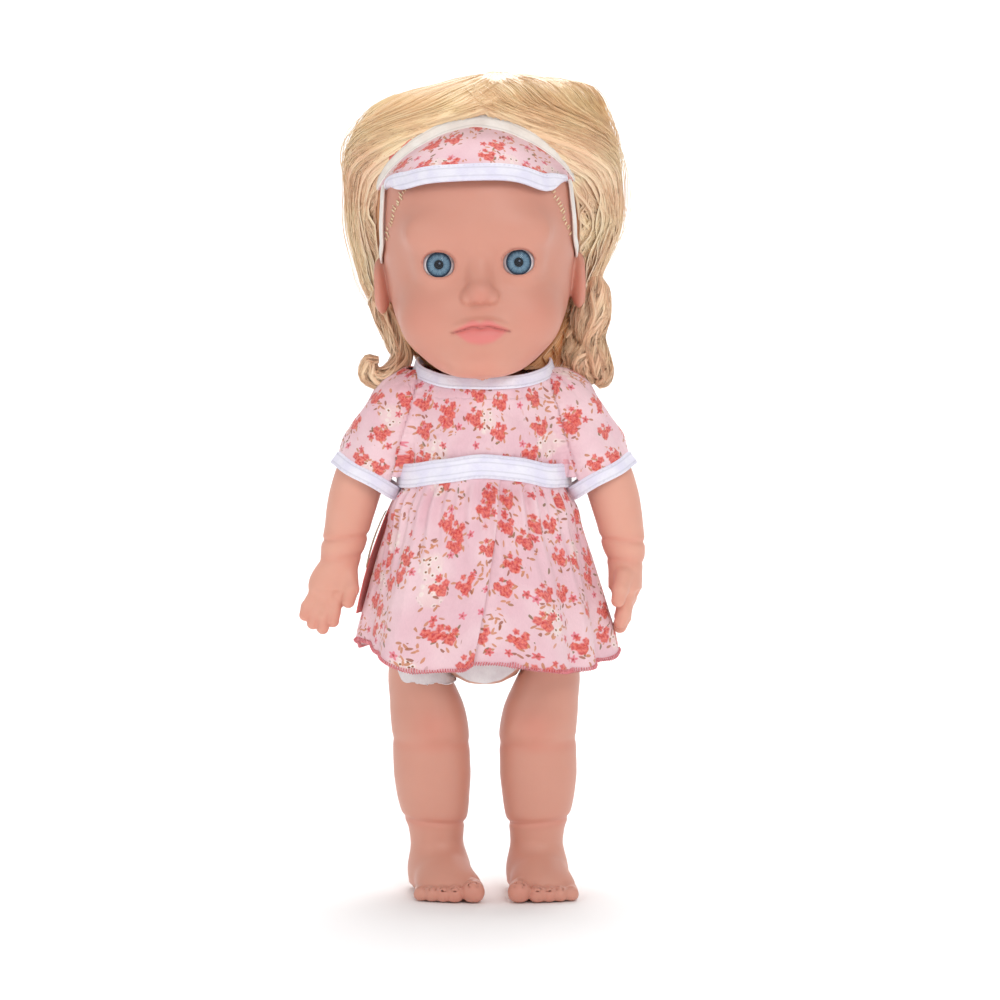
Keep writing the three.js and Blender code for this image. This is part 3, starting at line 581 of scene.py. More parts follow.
points, quads = polygonise(head_field, (-50, -54, 214), (50, 52, 334), HEAD_STEP)
head = make_object("head_skin", lean(points), quads, VINYL)
blush_and_shade = (
    0.22 * bump(points, (23, -38, 245), 16) + 0.22 * bump(points, (-23, -38, 245), 16)
    + 0.35 * bump(points, (0, -48, 253), 9) + 0.18 * bump(points, (0, -40, 224), 14)
    + 0.2 * bump(points, (43, 2, 258), 13) + 0.2 * bump(points, (-43, 2, 258), 13)
)
give(head, "blush_and_shade", np.clip(0.1 + blush_and_shade, 0, 0.75))
give(head, "lips", 0.8 * lip_mask(points))
# painted shade: a dark line where the lips meet, and a thin dark ring round each eye opening, strongest
# under the upper eyelid
mouth_line_shade = np.clip(1.1 - np.abs(mouth_line(points, 0)) / 0.6, 0, 1) * (points[:, 1] < -34)
lid_x, lid_z = (np.abs(points[:, 0]) - EYE_X) / 7.0, (points[:, 2] - EYE_Z) / 5.7
lid_rim_shade = (
    np.exp(-(((np.hypot(lid_x, lid_z) - 1) / 0.07) ** 2)) * (points[:, 1] < -33)
    * (0.28 + 0.3 * (lid_z > 0.1))
)
give(head, "crease", np.clip(0.75 * mouth_line_shade + lid_rim_shade, 0, 0.85))
settle(head, "head", "vinyl_skin", "head_shell")


# ---------------------------------------------------------------- eyes
def disc_points(radius, rings, around, height):
    """A round patch in the xz plane, y = height(distance from the middle)."""
    r = radius * np.linspace(0.002, 1, rings)
    angle = 2 * math.pi * np.arange(around) / around
    x, z = np.outer(r, np.cos(angle)).ravel(), np.outer(r, np.sin(angle)).ravel()
    y = height(np.repeat(r, around))
    return np.stack([x, y, z], 1), grid_faces(rings, around, closed=True)[:, ::-1]


def eyeball_material():
    """Glossy white of the eye, painted a little grey as the shade inside the socket, with a faint cast."""
    n = Nodes("eye_white")
    veins = n.noise(n.coordinates(), 260, 5, 0.6)
    # painted shade: the white is greyed for the shade of the socket
    n.set(Base_Color=n.mix(n.ramp(veins, 0.45, 0.75), rgb(222, 218, 222), rgb(206, 194, 198)))
    n.set(Roughness=0.16, Coat_Weight=0.5, Coat_Roughness=0.05)
    return n.material


def iris_material():
    """Printed iris: fine fibres running out from the pupil, a pale inner ring and a dark rim."""
    n = Nodes("iris_print")
    x, z, _ = n.split(n.attribute("disc"))
    radius = n.distance(x, z)
    spin = n.vector("NORMALIZE", n.combine(x, z, 0.0))
    along = n.vector(
        "ADD", n.vector("SCALE", spin, scale=6.5),
        n.combine(0.0, 0.0, n.times(radius, 0.22)),
    )
    fibres = n.noise(along, 2.6, 4, 0.65)
    coarse = n.noise(n.vector("SCALE", spin, scale=2.2), 2.0, 2, 0.5)
    streak = n.plus(n.times(fibres, 0.75), n.times(coarse, 0.35))
    tone = n.mix(n.ramp(streak, 0.40, 0.68), rgb(42, 78, 106), rgb(116, 152, 176))
    tone = n.mix(
        n.ramp(n.math("ABSOLUTE", n.minus(radius, 3.0)), 0.0, 1.1, 0.35, 0.0), tone,
        rgb(146, 176, 196),
    )
    tone = n.mix(n.ramp(radius, 3.9, 4.9), tone, rgb(20, 38, 62))
    tone = n.mix(n.ramp(radius, 1.8, 2.15, 1.0, 0.0), tone, rgb(12, 16, 26))
    glint = n.vector("LENGTH", n.vector("SUBTRACT", n.combine(x, z, 0.0), (0.35, 0.55, 0.0)))
    tone = n.mix(n.ramp(glint, 0.25, 0.5, 0.55, 0.0), tone, rgb(150, 170, 200))
    n.set(Base_Color=tone, Roughness=0.3)
    return n.material


def cornea_material():
    """Clear moulded dome over the iris, lightly smeared."""
    n = Nodes("clear_dome")
    smear = n.noise(n.coordinates(), 500, 2, 0.5)
    n.set(Base_Color=(0.02, 0.02, 0.03, 1), Roughness=n.ramp(smear, 0.3, 0.7, 0.02, 0.05), IOR=1.4)
    n.set(Alpha=0.10, Specular_IOR_Level=1.0)
    return n.material


EYE_ROWS, EYE_AROUND = 40, 64
EYE_WHITE, IRIS, CORNEA = eyeball_material(), iris_material(), cornea_material()
for name, side in SIDES:
    centre = np.array([side * EYE_X, EYE_Y, EYE_Z])
    theta = np.linspace(0.02, math.pi * 0.62, EYE_ROWS)
    phi = 2 * math.pi * np.arange(EYE_AROUND) / EYE_AROUND
    ring = (
        np.outer(np.sin(theta), np.cos(phi)),
        np.outer(-np.cos(theta), np.ones(EYE_AROUND)),
        np.outer(np.sin(theta), np.sin(phi)),
    )
    ball = np.stack(ring, -1).reshape(-1, 3) * EYE_R
    flat = np.hypot(ball[:, 0], ball[:, 2]) < 5.3
    ball[:, 1] = np.where(flat, -EYE_R * 0.775, ball[:, 1])
    quads = grid_faces(EYE_ROWS, EYE_AROUND, closed=True)
    white = make_object(f"eye_white_{name}", lean(ball + centre), quads, EYE_WHITE)
    settle(white, "head", "white_plastic", f"eyeball_{name}")
    points, quads = disc_points(5.25, 14, 72, lambda r: -EYE_R * 0.79 + 0 * r)
    iris = make_object(f"iris_disc_{name}", lean(points + centre), quads, IRIS)
    give(iris, "disc", np.stack([points[:, 0], points[:, 2], 0 * points[:, 0]], 1))
    settle(iris, "head", "iris_print", f"iris_{name}")
    points, quads = disc_points(
        5.5, 12, 56, lambda r: -np.sqrt(np.maximum((EYE_R + 0.25) ** 2 - r**2, 0)),
    )
    dome = make_object(f"eye_dome_{name}", lean(points + centre), quads, CORNEA)
    settle(dome, "head", "clear_dome", f"cornea_{name}")

# ---------------------------------------------------------------- arms
UPPER_ARM = [
    [156, 58, 0, 9.8, 10.2], [164, 56.3, 0, 10.6, 11], [172, 54.3, 0, 11.1, 11.5],
    [180, 52, 0, 11, 11.8], [187, 49, 0, 10.2, 11.8], [195, 45, 0, 8.8, 11.8], [204, 40.5, 0, 6.5, 10.5],
]
RIGHT_ARM = [
    [131, 63.4, 0, 8.6, 6.6], [136, 62.4, 0, 8.2, 7.4], [142, 61.1, 0, 8.6, 8.4],
    [149, 59.6, 0, 9.5, 9.4], *UPPER_ARM,
]
LEFT_ARM = [
    [131, 60, 0, 6.2, 8], [136, 60.1, 0, 6.8, 8.2], [142, 60.1, 0, 8.0, 8.6],
    [149, 59.2, 0, 9.3, 9.5], *UPPER_ARM,
]
# Each finger is a chain of knuckle points with its radius at the root and at the tip.
RIGHT_FINGERS = [
    (((72.2, -2.2, 126.5), (75.0, -3.4, 122), (76.0, -4.4, 118.6)), 2.9, 2.5),
    (((69.4, -2.8, 124.5), (72.0, -4.2, 119), (72.6, -5.4, 115.2)), 3.1, 2.6),
    (((66.0, -3.0, 124), (68.2, -4.8, 117.6), (68.4, -6.2, 113.2)), 3.1, 2.6),
    (((62.8, -2.6, 125), (63.8, -4.2, 119.6), (64.0, -5.4, 116)), 3.0, 2.5),
    (((57.6, -3.6, 136), (56.2, -6.4, 130), (57.4, -8.0, 124.6)), 3.5, 2.7),
]
LEFT_FINGERS = [
    (((60.2, 6, 126), (59.4, 7.8, 120.5), (58.2, 8.2, 117)), 3.0, 2.6),
    (((60.4, 2.2, 124), (59.4, 2.8, 118), (57.8, 3, 114.2)), 3.2, 2.7),
    (((60.4, -2, 124), (59.4, -2.6, 117.6), (57.8, -3, 113.6)), 3.3, 2.8),
    (((60.2, -6, 125.5), (59.2, -7.6, 119.6), (57.8, -8.2, 116)), 3.2, 2.7),
    (((59.0, -8.6, 135.5), (57.6, -12, 130), (56.6, -13.2, 125.6)), 3.6, 2.9),
]


def arm_field(p, table, fingers, palm, creases):
    """One arm on the +x side: limb, shoulder, palm and fingers."""
    d = section_field(p, table, 2.1, creases)
    d = smooth_min(d, ellipsoid(p, (39.5, 0, 201), (11.5, 12, 11.5)), 3)
    d = smooth_max(d, 28.4 - p[:, 0], 1)
    d = smooth_min(d, ellipsoid(p, palm[0], palm[1]), 4)
    for n, (chain, root, tip) in enumerate(fingers):
        a, b, c = chain
        finger = smooth_min(
            round_cone(p, a, b, root, root * 0.94), round_cone(p, b, c, root * 0.94, tip), 0.8,
        )
        d = smooth_min(d, finger, 2.0 if n == 4 else 1.1)
    for chain, root, tip in fingers[:4]:
        knuckle = np.array(chain[0]) + [0, 0, 2]
        out = np.array([0, -1, 0]) if fingers is RIGHT_FINGERS else np.array([1, 0, 0])
        d = smooth_max(d, -(np.linalg.norm(p - knuckle - out * (root + 2.2), axis=1) - 1.5), 1.4)
    return d


ARM_LOOKS = {
    "right": (
        RIGHT_ARM, RIGHT_FINGERS, ((64.3, -1, 131), (10.2, 6.4, 10)),
        ((151.5, 0.75, 1.2, -0.12), (142.8, 0.45, 1.3, -0.16)),
    ),
    "left": (
        LEFT_ARM, LEFT_FINGERS, ((60.2, 0, 131), (6.2, 10, 10)),
        ((150.5, 0.7, 1.2, -0.1), (141.8, 0.5, 1.3, -0.12)),
    ),
}
for name, side in SIDES:
    table, fingers, palm, creases = ARM_LOOKS[name]
    points, quads = polygonise(
        lambda p: arm_field(p, table, fingers, palm, creases), (26, -20, 106), (82, 20, 222), ARM_STEP,
    )
    tips = sum(bump(points, chain[2], 5.5) for chain, _, _ in fingers)
    # painted shade: a band of deeper tone along each arm crease
    fold = sum(np.exp(-(((points[:, 2] - at + tilt * 2) / 2.2) ** 2)) for at, _, _, tilt in creases)
    if side < 0:
        points, quads = points * [-1, 1, 1], quads[:, ::-1]
    arm = make_object(f"arm_skin_{name}", points, quads, VINYL)
    give(arm, "blush_and_shade", np.clip(0.4 * tips + 0.22 * fold, 0, 0.6))
    give(arm, "lips", np.zeros(len(points)))
    settle(arm, f"arm_{name}", "vinyl_skin", f"arm_{name}")

# ---------------------------------------------------------------- legs
LEG = [
    [5, 22, 2.5, 10.6, 12], [12, 22.1, 2, 11.2, 12.2], [20, 22.3, 1, 11.2, 12.4],
    [27, 22.5, 0.4, 11.8, 13], [34, 22.8, 0, 14.0, 14.8], [42, 23.1, 0.3, 15.4, 16.2],
    [52, 23.1, 0.3, 16.4, 17], [62, 22.9, 0, 16.4, 16.6], [70, 22.5, -0.4, 16.9, 17.2],
    [80, 22.5, -0.2, 17.6, 18], [90, 24.6, 0, 16.2, 19], [98, 26.9, 0, 13.6, 19],
    [108, 28.8, 0, 10.8, 18], [116, 30, 0, 7.6, 15], [121, 30.5, 0, 4, 9],
]
HIP_CENTRE = np.array([21, 0, 108])
HIP_AXIS = np.array([math.cos(math.radians(25)), 0, -math.sin(math.radians(25))])
LEG_CREASES = ((65, 0.45, 2.0, 0.06), (31, 0.85, 1.2, 0.10))
FEET = {"left": (22.4, 25.0), "right": (20.2, 14.6)}  # |x| of the heel and of the ball


def foot_field(p, heel, ball):
    """A foot with five toes, each with its nail."""
    d = ellipsoid(p, (heel, 6, 8), (11.8, 13, 12.5))
    d = smooth_min(d, ellipsoid(p, ((heel + ball) / 2, -6, 7.5), (12.2, 15, 12.5)), 7)
    d = smooth_min(d, ellipsoid(p, (ball, -17, 4.8), (13.6, 11, 8.4)), 6)
    for toe in range(5):
        x = ball - 10.2 + (0 if toe == 0 else 3.0 + 4.7 * toe)
        radius = 4.8 if toe == 0 else 3.8 - 0.12 * toe
        y = -30.6 + (0, 0, 1.0, 2.4, 4.2)[toe]
        part = round_cone(p, (x, y + 7, radius), (x, y, radius - 0.3), radius * 0.9, radius)
        d = smooth_min(d, part, 1.0)
        nail = ellipsoid(
            p, (x, y - radius * 0.55, radius * 1.62), (radius * 0.5, radius * 0.6, radius * 0.26),
        )
        d = smooth_max(d, -smooth_max(nail, -nail - 0.35, 0.1), 0.25)
    return d


def leg_field(p, heel, ball):
    """One leg on the +x side, cut flat at the sole and at the hip."""
    table = np.array(LEG)
    table[:, 1] += (
        (heel - 22.3) * np.clip((70 - table[:, 0]) / 40, 0, 1)  # the shin leans towards its foot
    )
    d = section_field(p, table, 2.05, LEG_CREASES)
    d = smooth_min(d, ellipsoid(p, (21.5, -9.5, 72), (10, 9.4, 8.6)), 6)  # knee
    d = smooth_min(d, ellipsoid(p, (23, 7, 44), (12, 12, 17)), 6)  # calf
    d = smooth_min(d, ellipsoid(p, (14.2, -2, 82), (8, 10, 8.5)), 4)  # inner thigh
    d = smooth_min(d, foot_field(p, heel, ball), 5)
    d = smooth_max(d, -p[:, 2], 1.6)
    return smooth_max(d, 0.3 - (p - HIP_CENTRE) @ HIP_AXIS, 7)


for name, side in SIDES:
    heel, ball = FEET[name]
    points, quads = polygonise(
        lambda p: leg_field(p, heel, ball), (-2, -40, -2), (48, 26, 125), LEG_STEP,
    )
    # blush on the knee and the toes, and painted shade in bands along the ankle and knee creases
    blush_and_shade = (
        0.35 * bump(points, (21.5, -18, 72), 13) + 0.25 * np.exp(-(((points[:, 2] - 31) / 2.6) ** 2))
        + 0.2 * np.exp(-(((points[:, 2] - 63.5) / 2.4) ** 2))
        + 0.35 * np.clip((-28 - points[:, 1]) / 8, 0, 1)
    )
    if side < 0:
        points, quads = points * [-1, 1, 1], quads[:, ::-1]
    leg = make_object(f"leg_skin_{name}", points, quads, VINYL)
    give(leg, "blush_and_shade", np.clip(blush_and_shade, 0, 0.5))
    give(leg, "lips", np.zeros(len(points)))
    settle(leg, f"leg_{name}", "vinyl_skin", f"leg_{name}")
    if side < 0:
        thigh_points, thigh_quads = points, quads

# ---------------------------------------------------------------- neck
NECK = [
    [209, 0, 0, 28, 23], [214, 0, 0.5, 26.5, 22], [218, 0, 1.0, 23.6, 20.4],
    [220.4, 0, 1.5, 20.5, 18.6], [222, 0, 2, 15.6, 15.2], [227.4, 0, 2, 15, 15],
]
points, quads = polygonise(
    lambda p: section_field(p, NECK), (-30, -26, 207), (30, 26, 230), NECK_STEP,
)
neck = make_object("neck_skin", points, quads, VINYL)
give(neck, "blush_and_shade", np.full(len(points), 0.25))
give(neck, "lips", np.zeros(len(points)))
settle(neck, "torso", "torso_plastic", "neck_plug")

# ---------------------------------------------------------------- dress: cloth materials
ROSES = 10.8  # distance between the rose clusters, in print units


def rosebud_print(n, cloth, base, deep):
    """Rose clusters, leafy sprigs, small blossoms and pale daisy patches scattered on a pink ground."""
    cloth = n.vector("SCALE", cloth, scale=0.8)
    wobble = n.noise(cloth, 0.22, 2, 0.5, output="Color")
    where = n.vector(
        "ADD", cloth, n.vector("SCALE", n.vector("SUBTRACT", wobble, (0.5, 0.5, 0.5)), scale=1.3),
    )
    flat = n.split(where)
    where = n.combine(flat[0], flat[1], 0.0)
    tone = n.mix(n.ramp(n.noise(cloth, 0.05, 2), 0.38, 0.62), base, deep)

    def layer(spacing, shift):
        moved = n.vector("ADD", where, shift)
        node = n.cells(moved, 1 / spacing, 0.85)
        local = n.vector("SUBTRACT", moved, node.outputs["Position"])
        x, y, _ = n.split(local)
        red, green, blue = n.split(node.outputs["Color"])
        distance = n.distance(x, y)
        return x, y, distance, n.math("ARCTAN2", y, x), red, green, blue

    # pale patches with tiny dark-centred daisies
    _, _, far, _, red, _, _ = layer(21, (3.1, 8.7, 0.0))
    patch = n.times(n.ramp(far, 3.4, 5.2, 1, 0), n.ramp(red, 0.40, 0.42))
    tone = n.mix(n.times(patch, 0.3), tone, rgb(248, 230, 216))
    _, _, dot, _, _, green, _ = layer(2.5, (0.7, 0.3, 0.0))
    tone = n.mix(n.times(n.times(patch, 0.45), n.ramp(dot, 0.7, 0.95, 1, 0)), tone, rgb(252, 243, 232))
    tone = n.mix(
        n.times(n.times(patch, n.ramp(dot, 0.26, 0.42, 1, 0)), n.ramp(green, 0.25, 0.3)), tone,
        rgb(140, 92, 66),
    )
    # sprigs: short slanted leaves, thickest round the roses
    _, _, rose_far, _, _, _, _ = layer(ROSES, (0.0, 0.0, 0.0))
    near_rose = n.ramp(rose_far, 2.0, 6.0, 1, 0)
    for spacing, shift, colour, other in (
        (3.1, (1.3, 0.4, 0.0), rgb(198, 128, 84), rgb(128, 104, 58)),
        (2.4, (5.9, 3.2, 0.0), rgb(214, 140, 98), rgb(160, 92, 62)),
    ):
        x, y, _, _, red, green, blue = layer(spacing, shift)
        turn = n.times(red, 6.28)
        c, s = n.math("COSINE", turn), n.math("SINE", turn)
        along = n.plus(n.times(x, c), n.times(y, s))
        across = n.minus(n.times(y, c), n.times(x, s))
        long, thick = n.times(along, 0.95), n.times(across, 2.5)
        shape = n.plus(n.times(long, long), n.times(thick, thick))
        leaf = n.times(
            n.ramp(shape, 0.75, 1.25, 1, 0),
            n.ramp(n.plus(green, n.times(near_rose, 0.8)), 0.945, 0.975),
        )
        tone = n.mix(n.times(leaf, 0.85), tone, n.mix(n.ramp(blue, 0.70, 0.8), colour, other))
    # small blossoms with five petals
    _, _, far, angle, red, green, _ = layer(6.6, (2.2, 5.5, 0.0))
    petals = n.times(n.math("COSINE", n.plus(n.times(angle, 5.0), n.times(red, 6.28))), 0.34)
    blossom = n.times(n.ramp(n.minus(far, petals), 0.95, 1.3, 1, 0), n.ramp(green, 0.56, 0.6))
    tone = n.mix(
        n.times(blossom, 0.85), tone,
        n.mix(n.ramp(red, 0.3, 0.7), rgb(232, 120, 138), rgb(226, 92, 92)),
    )
    tone = n.mix(n.times(n.ramp(far, 0.3, 0.5, 1, 0), n.ramp(green, 0.56, 0.6)), tone, rgb(190, 84, 76))
    # rose clusters: a big rose with two smaller ones beside it
    for shift, size in (
        ((0.0, 0.0, 0.0), 1.95), ((2.6, 1.1, 0.0), 1.35), ((-1.5, 2.4, 0.0), 1.25),
        ((1.1, 3.6, 0.0), 0.9),
    ):
        _, _, far, angle, red, _, blue = layer(ROSES, shift)
        wave = n.math("COSINE", n.plus(n.times(angle, 5.0), n.times(blue, 6.28)))
        edge = n.minus(far, n.times(wave, 0.15))
        rose = n.times(n.ramp(edge, size - 0.3, size + 0.3, 1, 0), n.ramp(red, 0.16, 0.18))
        blotch = n.noise(where, 1.1, 3, 0.6)
        petal = n.mix(n.ramp(blotch, 0.36, 0.62), rgb(206, 56, 58), rgb(238, 122, 106))
        tone = n.mix(n.times(rose, 0.9), tone, petal)
    return tone


def woven_bump(n, cloth, pitch, depth):
    """Plain weave: threads crossing over and under every `pitch` millimetres, over a soft crinkle."""
    x, y, _ = n.split(cloth)
    across = n.math("SINE", n.times(x, 2 * math.pi / pitch))
    down = n.math("SINE", n.times(y, 2 * math.pi / pitch))
    fine = n.bump(n.times(across, down), depth, 0.5)
    crinkle = n.noise(cloth, 0.35, 4, 0.55)
    return n.bump(crinkle, 0.0010, 0.5, fine)


def cloth_material(name, base, deep, printed=False, rows=False, pitch=0.5, sheen=0.25):
    """Woven or knitted cloth. rows paints faint lines of shade beside the stitches of a binding, where the
    tape would dip.
    """
    n = Nodes(name)
    cloth = n.attribute("cloth")
    if printed:
        tone = rosebud_print(n, cloth, base, deep)
    else:
        tone = n.mix(n.ramp(n.noise(cloth, 0.12, 3), 0.35, 0.65), base, deep)
    if rows:
        side = n.math("ABSOLUTE", n.split(cloth)[0])
        inner, outer = (n.math("ABSOLUTE", n.minus(side, at)) for at in (1.75, 3.75))
        # painted shade: thin darker lines beside the stitch rows
        groove_shade = n.ramp(n.math("MINIMUM", inner, outer), 0.05, 0.5, 0.30, 0.0)
        tone = n.mix(groove_shade, tone, tuple(0.55 * c for c in deep))
    thread = n.noise(n.vector("MULTIPLY", cloth, (3.0, 0.5, 1.0)), 1.2, 2, 0.6)
    tone = n.mix(n.ramp(thread, 0.3, 0.7, 0.0, 0.07), tone, rgb(150, 120, 130))
    n.set(Base_Color=tone, Roughness=n.ramp(thread, 0.2, 0.8, 0.78, 0.92), Sheen_Weight=sheen)
    n.set(Sheen_Roughness=0.5, Specular_IOR_Level=0.2, Normal=woven_bump(n, cloth, pitch, 0.00005))
    return n.material


def thread_material(name, colour, deep):
    """Twisted sewing thread."""
    n = Nodes(name)
    where = n.coordinates()
    n.set(Base_Color=n.mix(n.ramp(n.noise(where, 900, 2), 0.4, 0.6), colour, deep), Roughness=0.7)
    n.set(Sheen_Weight=0.3, Normal=n.bump(n.noise(where, 2500, 2), 0.0001, 0.5))
    return n.material


PRINT = cloth_material("print_cotton", rgb(243, 208, 214), rgb(236, 194, 203), printed=True)
LINING = cloth_material("coral_lining", rgb(238, 122, 114), rgb(224, 106, 100))
TWILL = cloth_material(
    "white_cotton", rgb(242, 240, 250), rgb(232, 229, 246), rows=True, pitch=0.8, sheen=0.15,
)
KNIT = cloth_material("panty_knit", rgb(240, 234, 234), rgb(228, 220, 222), pitch=0.9)
WHITE_THREAD = thread_material("white_thread", rgb(236, 234, 244), rgb(218, 214, 230))
PINK_THREAD = thread_material("pink_thread", rgb(232, 140, 146), rgb(214, 112, 120))
BEIGE_THREAD = thread_material("beige_thread", rgb(206, 190, 160), rgb(184, 166, 134))

# ---------------------------------------------------------------- dress: shapes
TORSO = np.array([
    [84, 14, 14], [90, 19, 20], [98, 23, 22.6], [104, 26, 24], [113, 30.4, 26.6], [122, 34, 28.5],
    [136, 35, 29], [150, 34, 29], [165, 33.3, 28], [180, 33, 26.5], [192, 33.5, 25],
    [203, 32.5, 23.5], [209, 30, 22.5], [214, 26.5, 20.5],
    [218, 20, 17], [220, 14.5, 14],
])


def torso_ring(theta, z, offset):
    """A point on the torso, moved out by an offset; theta is 0 at the front and grows towards +x."""
    rx = curve_through(z, TORSO[:, 0], TORSO[:, 1]) + offset
    ry = curve_through(z, TORSO[:, 0], TORSO[:, 2]) + offset
    return np.stack([rx * np.sin(theta), -ry * np.cos(theta), z + 0 * theta], -1)


def thickened(obj, millimetres, offset=-1.0):
    """Gives a sheet its thickness; offset says to which side."""
    modifier = obj.modifiers.new("thickness", "SOLIDIFY")
    modifier.thickness, modifier.offset = millimetres / 1000, offset
    return obj


TAPE_SIDES, STITCH_RINGS, STITCH_SIDES = 18, 5, 6


def band(name, centre, outward, across, width, thickness, material, closed=True):
    """A flat tape swept along a line, with rounded edges. outward and across are its own directions."""
    n = len(centre)
    widths = np.broadcast_to(width, n)
    a = np.linspace(0, 2 * math.pi, TAPE_SIDES, endpoint=False)
    round_x = np.sign(np.cos(a)) * np.abs(np.cos(a)) ** 0.35 / 2
    round_y = np.sign(np.sin(a)) * np.abs(np.sin(a)) ** 0.7 * thickness / 2
    points = (
        centre[:, None] + (widths[:, None] * round_x[None])[:, :, None] * across[:, None]
        + round_y[None, :, None] * outward[:, None]
    )
    points = points.reshape(-1, 3)
    if closed:
        faces = grid_faces(n + 1, TAPE_SIDES, closed=True) % (n * TAPE_SIDES)
    else:
        faces = grid_faces(n, TAPE_SIDES, closed=True)
    obj = make_object(name, points, faces, material)
    run = distance_along(centre)
    down = np.repeat(run, TAPE_SIDES)
    cloth = np.stack([(widths[:, None] * round_x[None]).ravel(), down, 0 * down], 1)
    give(obj, "cloth", cloth)
    return obj


def stitches(name, line, outward, material, pitch=2.1, length=1.35, radius=0.2):
    """A row of separate raised stitches lying along a line."""
    run = distance_along(line)
    spots = np.arange(0.5 * pitch, run[-1] - 0.5 * pitch, pitch)
    a = np.linspace(0, 2 * math.pi, STITCH_SIDES, endpoint=False)
    along = np.linspace(-1, 1, STITCH_RINGS)
    points = []
    for at in spots:
        here = [np.interp(at + length / 2 * t, run, line[:, n]) for t in along for n in range(3)]
        here = np.array(here).reshape(-1, 3)
        out = np.array([np.interp(at, run, outward[:, n]) for n in range(3)])
        forward = here[-1] - here[0]
        side = np.cross(forward, out)
        side /= np.linalg.norm(side) + 1e-9
        swell = radius * np.sqrt(np.maximum(1.02 - along**2, 0.02))
        ring = (
            here[:, None]
            + swell[:, None, None] * (np.cos(a)[None, :, None] * side + np.sin(a)[None, :, None] * out)
        )
        points.append(ring.reshape(-1, 3))
    faces = repeated(
        grid_faces(STITCH_RINGS, STITCH_SIDES, closed=True), len(spots), STITCH_RINGS * STITCH_SIDES,
    )
    return make_object(name, np.vstack(points), faces, material)


def smooth_waves(theta, seed, low, high, count):
    """A repeatable sum of waves round a ring, between about -1 and 1."""
    rng = np.random.default_rng(seed)
    total = 0 * theta
    for _ in range(count):
        order = rng.integers(low, high)
        total = total + np.cos(order * theta + rng.uniform(0, 2 * math.pi)) * rng.uniform(0.5, 1)
    return total / math.sqrt(count)


# ---------------------------------------------------------------- dress: skirt
SKIRT = np.array([
    [94, 57, 46.5], [99, 56.3, 45.8], [110, 54.6, 43.5], [120, 52, 41], [130, 49.2, 39],
    [141, 46, 37], [150, 43.2, 35.5],
    [160, 39.8, 33], [168, 36.6, 31], [173, 35.4, 29.8], [180, 35.2, 28.8],
])
MAIN_FOLD = 0.02  # where the front overlap sits, as an angle


def waist_line(theta):
    """Height of the waistband's lower edge: it rises at the front."""
    return 172.8 + 5.2 * np.exp(-((theta / 0.75) ** 2))


def hem_line(theta):
    """Height of the hem: the front follows the hang of its folds, the back waves gently."""
    x = np.sin(theta)
    line = curve_through(
        x, [-1, -0.98, -0.78, -0.46, -0.16, -0.06, 0.10, 0.4, 0.7, 1],
        [108.5, 107.5, 103.6, 98, 99, 101.6, 101.6, 99.2, 97.6, 100.5],
    )
    back = 102 + 2.2 * np.cos(5 * theta) + 1.2 * np.cos(8 * theta + 1) + np.where(x < 0, -4 * x, 3 * x)
    share = np.clip(0.5 + 2.5 * np.cos(theta), 0, 1)
    share = share**2 * (3 - 2 * share)
    return share * line + (1 - share) * back


def skirt_point(theta, down, tuck):
    """theta round the waist, down from 0 at the waist to 1 at the hem. tuck sinks a hidden edge."""
    top, low = waist_line(theta) + 2.5, hem_line(theta)
    z = top + (low - top) * down
    rx = curve_through(z, SKIRT[:, 0], SKIRT[:, 1])
    ry = curve_through(z, SKIRT[:, 0], SKIRT[:, 2])
    grow = np.clip(down, 0, 1) ** 1.15
    folds = (
        3.2 * np.cos(5 * theta - 2.6) * np.exp(-(((np.abs(theta) - 0.75) / 1.3) ** 4))
        + 2.4 * smooth_waves(theta, 4, 6, 13, 5)
        - 3.6 * np.exp(-(((theta - 0.30) / 0.13) ** 2)) + 2.6 * np.exp(-(((theta - 0.52) / 0.15) ** 2))
        - 3.0 * np.exp(-(((theta - 0.78) / 0.10) ** 2)) + 2.4 * np.exp(-(((theta + 0.10) / 0.14) ** 2))
        - 2.4 * np.exp(-(((theta + 0.42) / 0.16) ** 2)) - 2.6 * np.exp(-(((theta + 0.95) / 0.12) ** 2))
    )
    gathers = smooth_waves(theta + 0.03 * np.sin(7 * down), 9, 17, 46, 9)
    fine = np.exp(-down / 0.28) * np.clip((down - 0.03) / 0.06, 0, 1)
    puff = 1.6 * np.exp(-(((down - 0.15) / 0.08) ** 2))
    push = (
        grow * folds * 1.4 + 1.9 * gathers * fine + 0.5 * gathers * np.exp(-down / 0.45) * down
        + puff - tuck
    )
    direction = np.stack([np.sin(theta) * ry, -np.cos(theta) * rx], -1)
    direction = unit_length(direction)
    x = rx * np.sin(theta) + push * direction[..., 0]
    y = -ry * np.cos(theta) + push * direction[..., 1]
    ripple = 0.35 * smooth_waves(theta, 12, 9, 19, 3) * grow
    return np.stack([x, y, z + ripple], -1)


